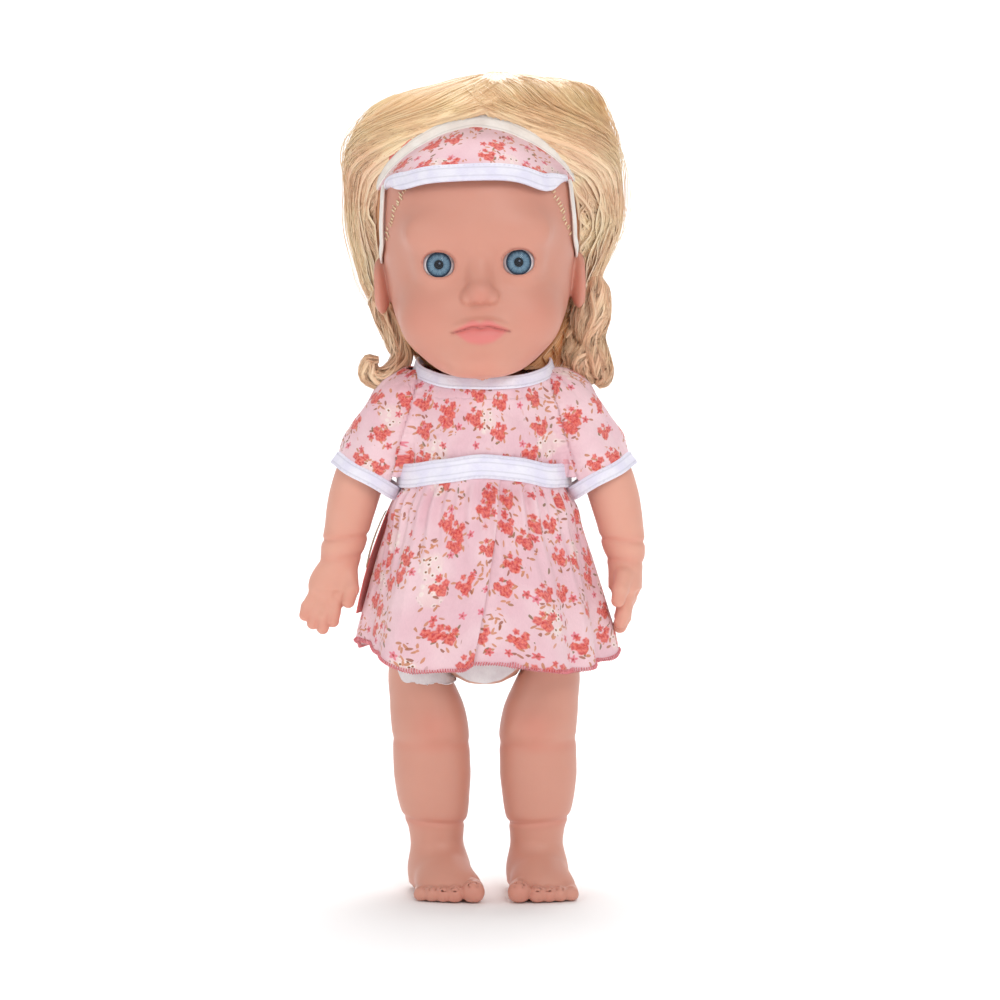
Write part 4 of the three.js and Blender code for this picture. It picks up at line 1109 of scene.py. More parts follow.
def skirt_half(name, side):
    """The doll's right half laps over the left one at the front; the left one laps over at the back."""
    rows, columns = 150, 330
    down = np.linspace(0, 1, rows)[:, None] ** 0.9
    s = np.linspace(0, 1, columns)[None, :]
    slant = 0.19 * (1 - down) - 0.10 * down
    if side < 0:
        start, end = slant + MAIN_FOLD, -math.pi + 0.03 + 0 * down
    else:
        start, end = slant + MAIN_FOLD - 0.16, math.pi + 0.07 + 0 * down
    theta = start + (end - start) * s
    lapped = np.abs(theta - start) if side > 0 else np.abs(theta - end)
    tuck = 1.5 * np.clip(1 - lapped / 0.22, 0, 1)
    roll = 1.1 * np.exp(-((theta - start) / 0.05) ** 2) * down if side < 0 else 0
    wrapped = (theta + math.pi) % (2 * math.pi) - math.pi
    points = skirt_point(wrapped, down + 0 * theta, tuck - roll)
    faces = grid_faces(rows, columns)
    if side > 0:
        faces = faces[:, ::-1]
    obj = make_object(name, points.reshape(-1, 3), faces, PRINT)
    give(
        obj, "cloth",
        np.stack([theta * 47 + 200 * side, down * 78 + 0 * theta, 0 * theta], -1).reshape(-1, 3),
    )
    edge = points[-1]
    return thickened(obj, 0.45), edge


def serged_edge(name, line, material):
    """Overlock stitches wrapping a raw hem: a thread that loops round the edge all the way along."""
    run = distance_along(line)
    t = np.arange(0, run[-1], 0.22)
    base = np.stack([np.interp(t, run, line[:, n]) for n in range(3)], 1)
    tangent = tangents(base)
    out = np.stack([base[:, 0], base[:, 1], 0 * t], 1)
    out = unit_length(out)
    phase = 2 * math.pi * t / 1.1
    rng = np.random.default_rng(3)
    knots = np.arange(0, run[-1] + 4, 3)
    loose = (
        1
        + 0.25 * np.interp(t, knots, rng.normal(0, 1, len(knots)))
    )
    path = (
        base + 0.62 * np.cos(phase)[:, None] * out
        + ((0.8 * np.sin(phase) + 0.35) * loose)[:, None] * np.array([0, 0, 1.0])
    )
    a = np.linspace(0, 2 * math.pi, 6, endpoint=False)
    along = tangents(path)
    side = np.cross(along, tangent + 0.3 * out)
    side = unit_length(side)
    up = np.cross(side, along)
    ring = (
        path[:, None]
        + 0.27 * (np.cos(a)[None, :, None] * side[:, None] + np.sin(a)[None, :, None] * up[:, None])
    )
    return make_object(name, ring.reshape(-1, 3), grid_faces(len(path), 6, closed=True), material)


for name, side in SIDES:
    skirt, edge = skirt_half(f"skirt_cloth_{name}", side)
    hem = serged_edge(f"skirt_hem_{name}", edge, PINK_THREAD)
    for piece in (skirt, hem):
        settle(piece, "torso", "print_cotton")
        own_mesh(piece)
    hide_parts(f"skirt_{name}")


# ---------------------------------------------------------------- dress: bodice and raglan puff sleeves
PUFF = np.array(
    [
        [-6, 13.4], [0, 14.9], [6, 15.9], [12, 16.6], [20, 17.1], [28, 16.8], [35.5, 15.8],
        [42, 13.4], [47, 10], [50, 5.6], [51.4, 0.4],
    ]
)
CUFF = np.array([49.5, 0, 177.6])
SLEEVE_UP = np.array([-0.5, 0, 0.8660254])
SLEEVE_OUT = np.array([0.8660254, 0, 0.5])


def sleeve_coordinates(p):
    """Along the sleeve from its cuff, away from its axis, and round it."""
    q = p - CUFF
    s, e = q @ SLEEVE_UP, q @ SLEEVE_OUT
    return s, np.hypot(e, p[:, 1]), np.arctan2(-p[:, 1], e)


YOKE = np.array(
    [
        [172, 36, 30.4], [180, 35.4, 29], [192, 35.9, 27.4], [203, 35, 26.2], [210, 33, 25.6],
        [215, 30.2, 24.6], [219, 28.4, 23.8], [224, 27.2, 23.0], [230, 26.6, 22.4],
    ]
)


def top_field(p):
    """Yoke and both puff sleeves as one smooth cloth surface."""
    q = p.copy()
    q[:, 0] = np.abs(q[:, 0])
    z = q[:, 2]
    rx = curve_through(z, YOKE[:, 0], YOKE[:, 1])
    ry = curve_through(z, YOKE[:, 0], YOKE[:, 2]) + 1.2 * np.exp(-(((z - 196) / 8) ** 2))
    body = (np.sqrt((q[:, 0] / rx) ** 2 + (q[:, 1] / ry) ** 2) - 1) * np.minimum(rx, ry)
    body = np.maximum(body, np.maximum(174 - z, z - 234))
    s, r, phi = sleeve_coordinates(q)
    radius = curve_through(s, PUFF[:, 0], PUFF[:, 1])
    crowd = np.exp(-np.clip(s, 0, 60) / 7.0) + 0.55 * np.exp(-np.clip(40 - s, 0, 60) / 9.0)
    pleat = np.cos(15 * phi + 1.2 * np.sin(2 * phi)) + 0.6 * np.cos(26 * phi + 2.0)
    sag = 0.7 * np.cos(3 * phi + 0.12 * s) + 0.5 * np.cos(5 * phi - 0.2 * s + 2)
    radius = (
        radius + 0.42 * pleat * crowd * np.clip((s - 2.5) / 3, 0, 1)
        + sag * np.clip(s / 12, 0, 1) * np.clip((44 - s) / 12, 0, 1)
    )
    puff = np.maximum((r - radius) * 0.9, np.maximum(-5.9 - s, s - 50.5))
    return smooth_min(body, puff, 3.5)


def raglan_x(z):
    """Half width of the yoke: the raglan seam slants out from the collar to the armpit."""
    return 27.3 + (221 - z) * 0.27


points, quads = polygonise(top_field, (-78, -34, 168), (78, 34, 236), DRESS_STEP)
away = np.abs(points[:, 0]) - raglan_x(points[:, 2])
value, normal = slope_of(top_field, points)
seam = np.exp(-((away / 0.75) ** 2))
beside = np.exp(-(((np.abs(away) - 1.9) / 1.2) ** 2))
middle = np.exp(-((points[:, 0] / 0.6) ** 2)) * (points[:, 1] < 0)
pucker = np.sin(points[:, 2] * 2 * math.pi / 3.3 + points[:, 1] * 0.4)
gather = (
    np.cos(points[:, 0] * 1.75 + 1.3 * np.sin(points[:, 0] * 0.3))
    + 0.5 * np.cos(points[:, 0] * 3.1 + 1)
)
near_band = np.exp(-((points[:, 2] - 186.5).clip(0) / 5.5)) * (away < 0)
near_collar = np.exp(-((218 - points[:, 2]).clip(0) / 4.0)) * (away < 0)
drag = (
    np.sin(points[:, 2] * 0.5 + points[:, 0] * 0.22)
    * np.sin(points[:, 0] * 0.17 - points[:, 2] * 0.1 + 1)
)
lift = (
    -0.75 * seam + 0.22 * beside * pucker - 0.3 * middle + 0.30 * gather * near_band
    + 0.22 * gather * near_collar
)
points = points + normal * (lift + 0.35 * drag)[:, None]
s, r, phi = sleeve_coordinates(folded_over(points))
centre = points[quads].mean(1)
face_s, face_r, _ = sleeve_coordinates(folded_over(centre))
face_away = np.abs(centre[:, 0]) - raglan_x(centre[:, 2])
collar_turn = np.arctan2(centre[:, 0], -centre[:, 1])
collar_height = 222.4 + 0.20 * centre[:, 1] + 1.8 * np.sin(collar_turn) ** 6
open_neck = (np.hypot(centre[:, 0] / 33, centre[:, 1] / 29) < 1) & (centre[:, 2] > collar_height)
waist = (centre[:, 2] < waist_line(np.arctan2(centre[:, 0], -centre[:, 1])) + 4.5) & (face_away < 0)
waist |= centre[:, 2] < 176
cuff_hole = (face_s < 1.2) & (face_away > 0) & (face_r < 30)
keep = ~(open_neck | waist | cuff_hole)
NECK_FOLD = 211.4  # height above which the cloth round the neck is made into separate pieces
NECK_RING = np.hypot(centre[:, 0] / 34, centre[:, 1] / 30) < 1
NECK_RING &= centre[:, 2] > NECK_FOLD


def cloth_part(name, chosen, cloth):
    """The chosen faces of the dress top as one piece of printed cloth."""
    used, faces = used_by(quads[chosen])
    obj = make_object(name, points[used], faces, PRINT)
    give(obj, "cloth", cloth[used])
    return thickened(obj, 0.45)


def press_with_head(piece):
    """Gives a piece of the cloth round the neck its own copy of its mesh."""
    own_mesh(piece)


theta = np.arctan2(points[:, 0], -points[:, 1])
yoke_cloth = np.stack([theta * 33 + 400, -points[:, 2], 0 * theta], 1)
bodice = cloth_part("bodice_cloth", keep & (face_away <= 0) & ~NECK_RING, yoke_cloth)
neck_edge = cloth_part("bodice_neck", keep & (face_away <= 0) & NECK_RING, yoke_cloth)
settle(bodice, "torso", "print_cotton", "dress_bodice")
settle(neck_edge, "torso", "print_cotton")
press_with_head(neck_edge)
for (label, side), start in zip(SIDES, (600, 700)):
    chosen = keep & (face_away > 0) & (side * centre[:, 0] > 0)
    sleeve_cloth = np.stack([phi * 18 + start, -s * 1.1, 0 * s], 1)
    sleeve = cloth_part(f"sleeve_cloth_{label}", chosen & ~NECK_RING, sleeve_cloth)
    neck_edge = cloth_part(f"sleeve_neck_{label}", chosen & NECK_RING, sleeve_cloth)
    settle(neck_edge, "torso", "print_cotton")
    press_with_head(neck_edge)
    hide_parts(f"sleeve_{label}")
    inner, outer = place_one((side * 37, 0, 202)), place_one((side * 53, 0, 202))
    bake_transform(sleeve)

# ---------------------------------------------------------------- dress: white bindings
turn = np.linspace(-math.pi, math.pi, 220, endpoint=False)


def loop_frame(points, hub):
    """Outward and along-the-loop directions for a loop round a hub line."""
    tangent = np.roll(points, -1, 0) - np.roll(points, 1, 0)
    tangent = unit_length(tangent)
    out = points - hub
    out -= (out * tangent).sum(1)[:, None] * tangent
    out = unit_length(out)
    return tangent, out


def binding(name, centre, out, across, width, thickness, body, slot_name, node, stitch_at):
    """A tape with a row of stitches near each edge; returns every piece of it."""
    tape = band(name, centre, out, across, width, thickness, TWILL)
    settle(tape, body, slot_name, node)
    rows = []
    for k, share in enumerate(stitch_at):
        line = centre + across * width * share + out * (thickness / 2 + 0.02)
        line = np.vstack([line, line[:1]])
        row = stitches(f"{name}_stitches_{k + 1}", line, np.vstack([out, out[:1]]), WHITE_THREAD)
        settle(row, body, slot_name)
        rows.append(row)
    return [tape, *rows]


wave = 0.25 * smooth_waves(turn, 21, 5, 16, 6)
lower = waist_line(turn)
centre = torso_ring(turn, lower + 4.9, 3.5)
centre += np.stack(
    [np.sin(turn) * wave, -np.cos(turn) * wave, 0.3 * smooth_waves(turn, 22, 4, 12, 5)], 1,
)
_, out = loop_frame(centre, np.array([0, 0, 0]) + np.stack([0 * turn, 0 * turn, centre[:, 2]], 1))
across = np.tile([0, 0, 1.0], (len(turn), 1))
binding(
    "waistband_tape", centre, out, across, 10.2, 1.5, "torso", "white_cotton", "waistband",
    (-0.41, 0.41),
)

ring_x, ring_y = 28.9, 25.2
collar = np.stack([ring_x * np.sin(turn), 0.5 - ring_y * np.cos(turn), 0 * turn], 1)
collar[:, 2] = (
    222.6 + 0.20 * collar[:, 1] + 1.8 * np.sin(turn) ** 6 + 0.15 * smooth_waves(turn, 31, 4, 11, 4)
)
_, out = loop_frame(collar, np.stack([0 * turn, 0 * turn, collar[:, 2]], 1))
lean_in = np.stack([-0.30 * np.sin(turn), 0.30 * np.cos(turn), np.ones_like(turn)], 1)
across = unit_length(lean_in)
out = out - (out * across).sum(1)[:, None] * across
pieces = binding(
    "collar_tape", collar, out, across, 5.6, 1.5, "torso", "white_cotton", "collar_binding",
    (-0.36,),
)
for piece in pieces:
    press_with_head(piece)

for name, side in SIDES:
    mirror = np.array([side, 1, 1])
    radius = 15.7 + 0.25 * smooth_waves(turn, 41, 3, 9, 4)
    centre = (
        CUFF + SLEEVE_UP * 0.2 + np.outer(np.cos(turn) * radius, SLEEVE_OUT)
        + np.outer(np.sin(turn) * radius, [0, -1, 0])
    )
    centre = centre + np.outer(0.35 * smooth_waves(turn, 42, 2, 6, 3), SLEEVE_UP)
    hub = CUFF + SLEEVE_UP * 0.2
    out = centre - hub
    out -= np.outer(out @ SLEEVE_UP, SLEEVE_UP)
    out = unit_length(out)
    flare = SLEEVE_UP[None] - 0.10 * out
    flare = unit_length(flare)
    pieces = binding(
        f"cuff_tape_{name}", centre * mirror, out * mirror, flare * mirror, 6.2, 1.5, f"arm_{name}",
        "white_cotton", f"cuff_{name}", (-0.36, 0.36),
    )

# ---------------------------------------------------------------- dress: inside flap and panties
rows, columns = 40, 24
v, w = np.meshgrid(np.linspace(0, 1, rows), np.linspace(0, 1, columns), indexing="ij")
angle = -1.62 - 0.30 * w - 0.05 * np.sin(5 * v)
height = 166 - 47 * v
rx = curve_through(height, SKIRT[:, 0], SKIRT[:, 1]) + 1.9 + 1.2 * np.sin(3 * v + 2 * w)
ry = curve_through(height, SKIRT[:, 0], SKIRT[:, 2]) + 1.9 + 1.0 * np.cos(7 * v)
flap = np.stack([rx * np.sin(angle), -ry * np.cos(angle), height], -1).reshape(-1, 3)
flap_piece = make_object("inside_flap", flap, grid_faces(rows, columns), LINING)
give(flap_piece, "cloth", np.stack([w.ravel() * 14, v.ravel() * 55, 0 * v.ravel()], 1))
thickened(flap_piece, 0.45, 0.0)
settle(flap_piece, "torso", "print_cotton")
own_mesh(flap_piece)
tape = flap.reshape(rows, columns, 3)[3:24, 4] + [-0.7, -0.5, 0]
out = np.stack([tape[:, 0], tape[:, 1], 0 * tape[:, 0]], 1)
out = unit_length(out)
tangent = tangents(tape)
loop = band(
    "inside_loop", tape + out * np.sin(np.linspace(0, math.pi, 21))[:, None] * 0.7, out,
    np.cross(tangent, out), 2.8, 0.6, BEIGE_THREAD, closed=False,
)
settle(loop, "torso", "print_cotton")
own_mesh(loop)


def panty_field(p):
    """The underpants: a skin just outside the torso, open at the crotch line."""
    z = p[:, 2]
    rx = curve_through(z, TORSO[:, 0], TORSO[:, 1]) + 1.3
    ry = curve_through(z, TORSO[:, 0], TORSO[:, 2]) + 1.3
    d = (np.sqrt((p[:, 0] / rx) ** 2 + (p[:, 1] / ry) ** 2) - 1) * np.minimum(rx, ry)
    return np.maximum(d, 91.4 + 0.03 * p[:, 0] ** 2 - z)


points, quads = polygonise(panty_field, (-40, -34, 82), (40, 34, 128), PANTY_STEP)
value, normal = slope_of(panty_field, points)
crease = smooth_waves(points[:, 0] * 0.12 + points[:, 2] * 0.05, 51, 3, 9, 5)
points = points + normal * (0.35 * crease)[:, None]
centre = points[quads].mean(1)
mirrored = folded_over(centre)
at_hip = (mirrored - HIP_CENTRE) @ HIP_AXIS > -0.8
keep = (
    ~(at_hip & (np.linalg.norm(mirrored - HIP_CENTRE, axis=1) < 24))
    & (centre[:, 2] < 122)
)
used, faces = used_by(quads[keep])
panty = make_object("panty_cloth", points[used], faces, KNIT)
give(panty, "cloth", points[used][:, [0, 2, 1]])
thickened(panty, 0.6)
settle(panty, "torso", "white_cotton", "panties")
# the leg of the panties that covers the top of the right thigh
value = np.abs(thigh_points[:, 0])
low_edge = 91.2 + 0.22 * np.maximum(value - 31, 0) ** 2 + 0.5 * np.sin(value * 0.7)
inside = (thigh_points[:, 2] > low_edge - 1.0) & (thigh_points[:, 2] < 113)
used, faces = used_by(thigh_quads[inside[thigh_quads].all(1)])
axis_x = -(24 + 0.25 * (thigh_points[:, 2] - 90))
outward = np.stack([thigh_points[:, 0] - axis_x, thigh_points[:, 1], 0 * axis_x], 1)
outward = unit_length(outward)
puffed = thigh_points + outward * (1.3 + 0.3 * np.sin(value * 0.9 + thigh_points[:, 2] * 0.3))[:, None]
puffed[:, 2] = np.maximum(puffed[:, 2], low_edge)
cover = make_object("panty_leg_right", puffed[used], faces, KNIT)
give(cover, "cloth", puffed[used][:, [0, 2, 1]])
thickened(cover, 0.5)
settle(cover, "leg_right", "white_cotton")

# ---------------------------------------------------------------- hair
def hair_material(name, bright, mid, deep, fine=2.6):
    """Glossy nylon hair: streaks that run along each lock.

    "hair" holds how far across and along its lock a point is, in mm, and a random number."""
    n = Nodes(name)
    across, along, chance = n.split(n.attribute("hair"))
    streak_at = n.combine(
        n.times(across, fine), n.times(along, 0.03),
        n.times(chance, 40.0),
    )
    streak = n.noise(streak_at, 1.0, 3, 0.65)
    broad = n.noise(n.vector("SCALE", n.coordinates(), scale=1.0), 55, 3, 0.5)
    tone = n.mix(n.ramp(broad, 0.35, 0.65), mid, bright)
    tone = n.mix(n.ramp(streak, 0.34, 0.48, 0.42, 0.0), tone, deep)
    tone = n.mix(n.ramp(streak, 0.54, 0.66, 0.0, 0.5), tone, rgb(255, 242, 214))
    tone = n.mix(n.ramp(chance, 0.0, 1.0, 0.0, 0.30), tone, rgb(255, 238, 196))
    # painted light and shade by height: the upper hair is painted yellower as if lit from above, the crown
    # darker to hold back the light from above, and the hair near the neck warmer and darker as shade
    height = n.split(n.coordinates())[2]
    tone = n.mix(n.ramp(height, 0.300, 0.335, 0.0, 0.35), tone, rgb(250, 214, 146))
    tone = n.mix(n.ramp(height, 0.334, 0.347, 0.0, 0.5), tone, rgb(214, 168, 124))
    tone = n.mix(n.ramp(height, 0.215, 0.285, 0.22, 0.0), tone, deep)
    n.set(Base_Color=tone, Roughness=n.ramp(streak, 0.3, 0.7, 0.20, 0.34), Specular_IOR_Level=0.75)
    n.set(Normal=n.bump(streak, 0.0004, 0.7))
    return n.material


HAIR_BRIGHT, HAIR_MID, HAIR_DEEP = rgb(255, 228, 188), rgb(247, 204, 168), rgb(214, 146, 110)
HAIR = hair_material("hair_fibre", HAIR_BRIGHT, HAIR_MID, HAIR_DEEP)
# a darker copy of the hair colours, painted shade for the hair underneath and at the nape
HAIR_SHADED = hair_material("hair_painted_shade", rgb(236, 184, 132), rgb(226, 166, 112), rgb(192, 108, 68))

# Outline of the hair: half widths to each side and its front and back at each height.
HAIR_Z = [214, 222, 229, 235, 242, 252, 262, 269, 278, 290, 311, 321, 332, 338, 343, 346, 348]
HAIR_MINUS = [31, 32, 34, 37.5, 43.5, 51, 55, 56, 57, 57.5, 58, 55.5, 48, 38, 19, 8, -3]
HAIR_PLUS = [47, 48, 48, 49, 49.5, 50, 51.5, 54, 56.5, 58, 56.5, 54.5, 50.5, 48, 43, 28, 6]
HAIR_FRONT = [10, 4, -2, -6, -12, -20, -28, -32, -36, -39, -40, -38, -33, -28, -20, -10, 3]
HAIR_BACK = [42, 46, 50, 53, 56, 59, 61, 62, 63, 63, 60, 56, 48, 41, 31, 21, 6]
# Front edge of the hair: along the head band above, then in front of and under the ear.
EDGE_Z = [216, 229, 235, 242, 255, 270, 285, 298, 304, 310, 316, 322, 327, 331, 334]
EDGE_TURN = [138, 132, 122, 112, 101, 95, 88, 82, 74, 62, 49, 34, 18, 5, 0]


def hair_place(side, q, z, sink, fringe=0.14, forward=0.0):
    """A point of the hair. q runs from its front edge (0) to the middle of the back (1).

    forward brings the edge beside the neck round to the front by that many degrees."""
    edge = np.radians(curve_through(z, EDGE_Z, EDGE_TURN) - forward * np.clip((246 - z) / 16, 0, 1))
    a = edge + (math.pi - edge) * q
    middle = 4.5 * np.clip((z - 322) / 24, 0, 1)
    wide = np.where(
        side > 0, curve_through(z, HAIR_Z, HAIR_PLUS) - middle,
        curve_through(z, HAIR_Z, HAIR_MINUS) + middle,
    )
    front, back = curve_through(z, HAIR_Z, HAIR_FRONT), curve_through(z, HAIR_Z, HAIR_BACK)
    cy, ry = (front + back) / 2, (back - front) / 2
    x_out = middle + side * (wide - sink) * np.sign(np.sin(a)) * np.abs(np.sin(a)) ** 0.92
    y_out = cy - (ry - sink) * np.sign(np.cos(a)) * np.abs(np.cos(a)) ** 0.92
    zh = np.clip(z, 219, 326.5)
    shift = FACE_X - (zh - 224) * math.sin(math.radians(1.8))
    head_wide = curve_through(zh, HEAD_Z, HEAD_WIDE) + 2.4 - 0.25 * sink
    head_front, head_back = curve_through(zh, HEAD_Z, HEAD_FRONT), curve_through(zh, HEAD_Z, HEAD_BACK)
    x_in = shift + side * head_wide * np.sin(a)
    y_in = (head_front + head_back) / 2 - ((head_back - head_front) / 2 + 2.4 - 0.25 * sink) * np.cos(a)
    k = np.clip(q / fringe + np.clip((z - 327) / 9, 0, 1), 0, 1)
    k = np.sqrt(k * (2 - k))
    return np.stack([x_in + (x_out - x_in) * k, y_in + (y_out - y_in) * k, z + 0 * x_out], -1)


def ribbon_mesh(name, paths, outward, widths, material, rng, crown=0.35, sides=3):
    """Many flat locks in one mesh. paths: (locks, steps, 3); widths: (locks, steps)."""
    locks, steps, _ = paths.shape
    tangent = np.gradient(paths, axis=1)
    tangent /= np.linalg.norm(tangent, axis=2, keepdims=True) + 1e-9
    across = np.cross(tangent, outward)
    across /= np.linalg.norm(across, axis=2, keepdims=True) + 1e-9
    lift = np.cross(across, tangent)
    u = np.linspace(-1, 1, sides + 1)
    arch = crown * (1 - u**2)
    points = (
        paths[:, :, None] + 0.5 * widths[:, :, None, None] * u[None, None, :, None] * across[:, :, None]
        + widths[:, :, None, None] * arch[None, None, :, None] * lift[:, :, None]
    )
    faces = repeated(grid_faces(steps, sides + 1), locks, steps * (sides + 1))
    obj = make_object(name, points.reshape(-1, 3), faces, material)
    run = np.concatenate(
        [np.zeros((locks, 1)), np.cumsum(np.linalg.norm(np.diff(paths, axis=1), axis=2), 1)], 1,
    )
    chance = rng.uniform(0, 1, locks)
    hair = np.stack(np.broadcast_arrays(
        0.5 * widths[:, :, None] * u[None, None], run[:, :, None], chance[:, None, None]), -1)
    give(obj, "hair", hair.reshape(-1, 3))
    return obj


def strand_mesh(name, paths, radius, material, rng):
    """Many thin strands, each a three-sided tube that thins towards its tip."""
    strands, steps, _ = paths.shape
    tangent = np.gradient(paths, axis=1)
    tangent /= np.linalg.norm(tangent, axis=2, keepdims=True) + 1e-9
    side = np.cross(tangent, [0.3, 0.2, 1.0])
    side /= np.linalg.norm(side, axis=2, keepdims=True) + 1e-9
    up = np.cross(side, tangent)
    a = 2 * math.pi * np.arange(3) / 3
    taper = np.linspace(1, 0.5, steps)[None, :, None, None] * radius[:, None, None, None]
    points = (
        paths[:, :, None]
        + taper * (np.cos(a)[:, None] * side[:, :, None] + np.sin(a)[:, None] * up[:, :, None])
    )
    faces = repeated(grid_faces(steps, 3, closed=True), strands, steps * 3)
    obj = make_object(name, points.reshape(-1, 3), faces, material)
    chance = rng.uniform(0, 1, strands)
    run = np.linspace(0, 100, steps)
    hair = np.stack(
        np.broadcast_arrays(
            0.0 * chance[:, None, None], run[None, :, None] + 0 * a, chance[:, None, None],
        ),
        -1,
    )
    give(obj, "hair", hair.reshape(-1, 3))
    return obj


def hair_paths(rng, count, steps, side, q_range, spread, sink_range, wave, stray=0.0):
    """Paths from the crown to the tips; strands of one clump share their place and their wave."""
    clumps = max(6, count // 11)
    home = np.linspace(*q_range, clumps) + rng.normal(0, 0.006, clumps)
    clump = rng.integers(0, clumps, count)
    q = home[clump] + rng.normal(0, spread, count)
    q = np.clip(q, 0.0, 1.0)
    top = 331.5 + 15.5 * np.clip(q / 0.32, 0, 1) ** 0.7
    end_middle = np.where(side > 0, 220 + 4 * q, 226 - 2 * q)
    low = end_middle + rng.uniform(-3, 7, clumps)[clump] + rng.uniform(-2, 3, count)
    start = rng.uniform(0, 0.16, count) * (rng.uniform(0, 1, count) < 0.4)
    t = start[:, None] + (1 - start[:, None]) * np.linspace(0, 1, steps)[None]
    z = top[:, None] + (low - top)[:, None] * (0.25 * t + 0.75 * t**1.55)
    swing = np.clip((top[:, None] - z) / 30, 0, 1)
    radial = np.clip((q - 0.12) / 0.35, 0, 1)[:, None]
    gather = swing**0.8 * (1 - radial) + radial
    pinch = (q - home[clump])[:, None] * (-0.55 * np.clip((t - 0.45) / 0.55, 0, 1))
    phase = (6 * home + rng.normal(0, 0.7, clumps))[clump][:, None]
    length = (34 + 8 * np.sin(7 * home) + rng.normal(0, 2.5, clumps))[clump][:, None]
    amp = wave * rng.uniform(0.5, 1.3, clumps)[clump][:, None] * np.clip((t - 0.22) / 0.35, 0, 1)
    roll = 2 * math.pi * (top[:, None] - z) / length + phase
    cross = -0.10 * (1 - swing) * (1 - radial) * rng.uniform(0, 1, (count, 1))
    q_path = (
        (q[:, None] + pinch) * gather + 0.009 * amp * np.sin(roll)
        + stray * rng.normal(0, 0.02, (count, 1)) * t
    )
    q_path = np.clip(q_path, 0, 1) + cross
    sink = (
        rng.uniform(*sink_range, count)[:, None] + 0.45 * amp * np.cos(roll)
        - stray * rng.uniform(0, 2.5, (count, 1)) * t
    )
    sink = sink + 1.4 * np.sin(5 * home[clump] * 7)[:, None] * np.clip(t * 2, 0, 1)
    points = hair_place(side, q_path, z, sink)
    near = hair_place(side, q_path, z, sink - 2.0)
    out = near - points + 1e-6
    out[..., 2] += 1.2 * np.clip((z - 325) / 18, 0, 1)
    out = unit_length(out)
    return points, out


LOCK_COUNT, STRAND_COUNT, LOOSE_COUNT = 900, 2200, 130  # on each side of the head
NAPE_COUNT, EDGE_COUNT, CROWN_COUNT, ROOT_COUNT = 210, 520, 300, 17
LOCK_STEPS, STRAND_STEPS, NAPE_STEPS, RIM_STEPS, WHORL_STEPS = 30, 28, 16, 9, 6
rng = np.random.default_rng(17)
# the mass underneath, painted in the shaded hair colours: it fills the hair out and closes it round the back
# of the neck
rows, columns = 90, 160
z = np.concatenate([np.linspace(346.6, 223, rows - 8), np.full(8, 223.0)])[:, None]
inward = np.concatenate([np.zeros(rows - 8), np.linspace(0.1, 1, 8)])[:, None]
q = np.concatenate([np.linspace(0, 1, columns // 2), np.linspace(1, 0, columns // 2)])[None, :]
q = q - 0.07 * np.clip(1 - q / 0.1, 0, 1) * np.clip((z - 326) / 4, 0, 1)
side = np.where(np.arange(columns) < columns // 2, -1, 1)[None, :]
q, side, z = np.broadcast_arrays(q, side, z)
under = hair_place(side, q, z, 4.4 + 1.2 * np.sin(40 * q + 0.05 * z) + 0.6 * np.sin(83 * q), forward=30)
under[..., 0] += (0.0 - under[..., 0]) * inward * 0.55
under[..., 1] += (20.0 - under[..., 1]) * inward * 0.55
under[..., 2] += 10 * inward
mass = make_object("hair_mass", under.reshape(-1, 3), grid_faces(rows, columns), HAIR_SHADED)
give(mass, "hair", np.stack([q * 150, (347 - z), np.round(q * 40) % 7 / 7], -1).reshape(-1, 3))
thickened(mass, 1.2)
settle(mass, "head", "hair_fibre", "hair")

for label, side, wave in (("left", 1, 1.7), ("right", -1, 1.2)):
    paths, out = hair_paths(rng, LOCK_COUNT, LOCK_STEPS, side, (0.0, 1.0), 0.02, (0.6, 4.0), wave)
    t = np.linspace(0, 1, LOCK_STEPS)
    taper = np.clip((1.03 - t) / 0.25, 0.12, 1) * np.clip(t / 0.1 + 0.35, 0, 1)
    widths = rng.uniform(1.8, 4.2, LOCK_COUNT)[:, None] * taper[None]
    locks = ribbon_mesh(f"hair_locks_{label}", paths, out, widths, HAIR, rng, crown=0.22)
    settle(locks, "head", "hair_fibre")
    paths, _ = hair_paths(rng, STRAND_COUNT, STRAND_STEPS, side, (0.0, 1.0), 0.035, (-0.6, 2.2), wave)
    radius = rng.uniform(0.13, 0.28, STRAND_COUNT)
    strands = strand_mesh(f"hair_strands_{label}", paths, radius, HAIR, rng)
    settle(strands, "head", "hair_fibre")
    paths, _ = hair_paths(
        rng, LOOSE_COUNT, STRAND_STEPS, side, (0.05, 1.0), 0.08, (-2.6, 0.5), wave * 1.4, stray=1.0,
    )
    loose = strand_mesh(f"hair_loose_{label}", paths, rng.uniform(0.12, 0.2, LOOSE_COUNT), HAIR, rng)
    settle(loose, "head", "hair_fibre")


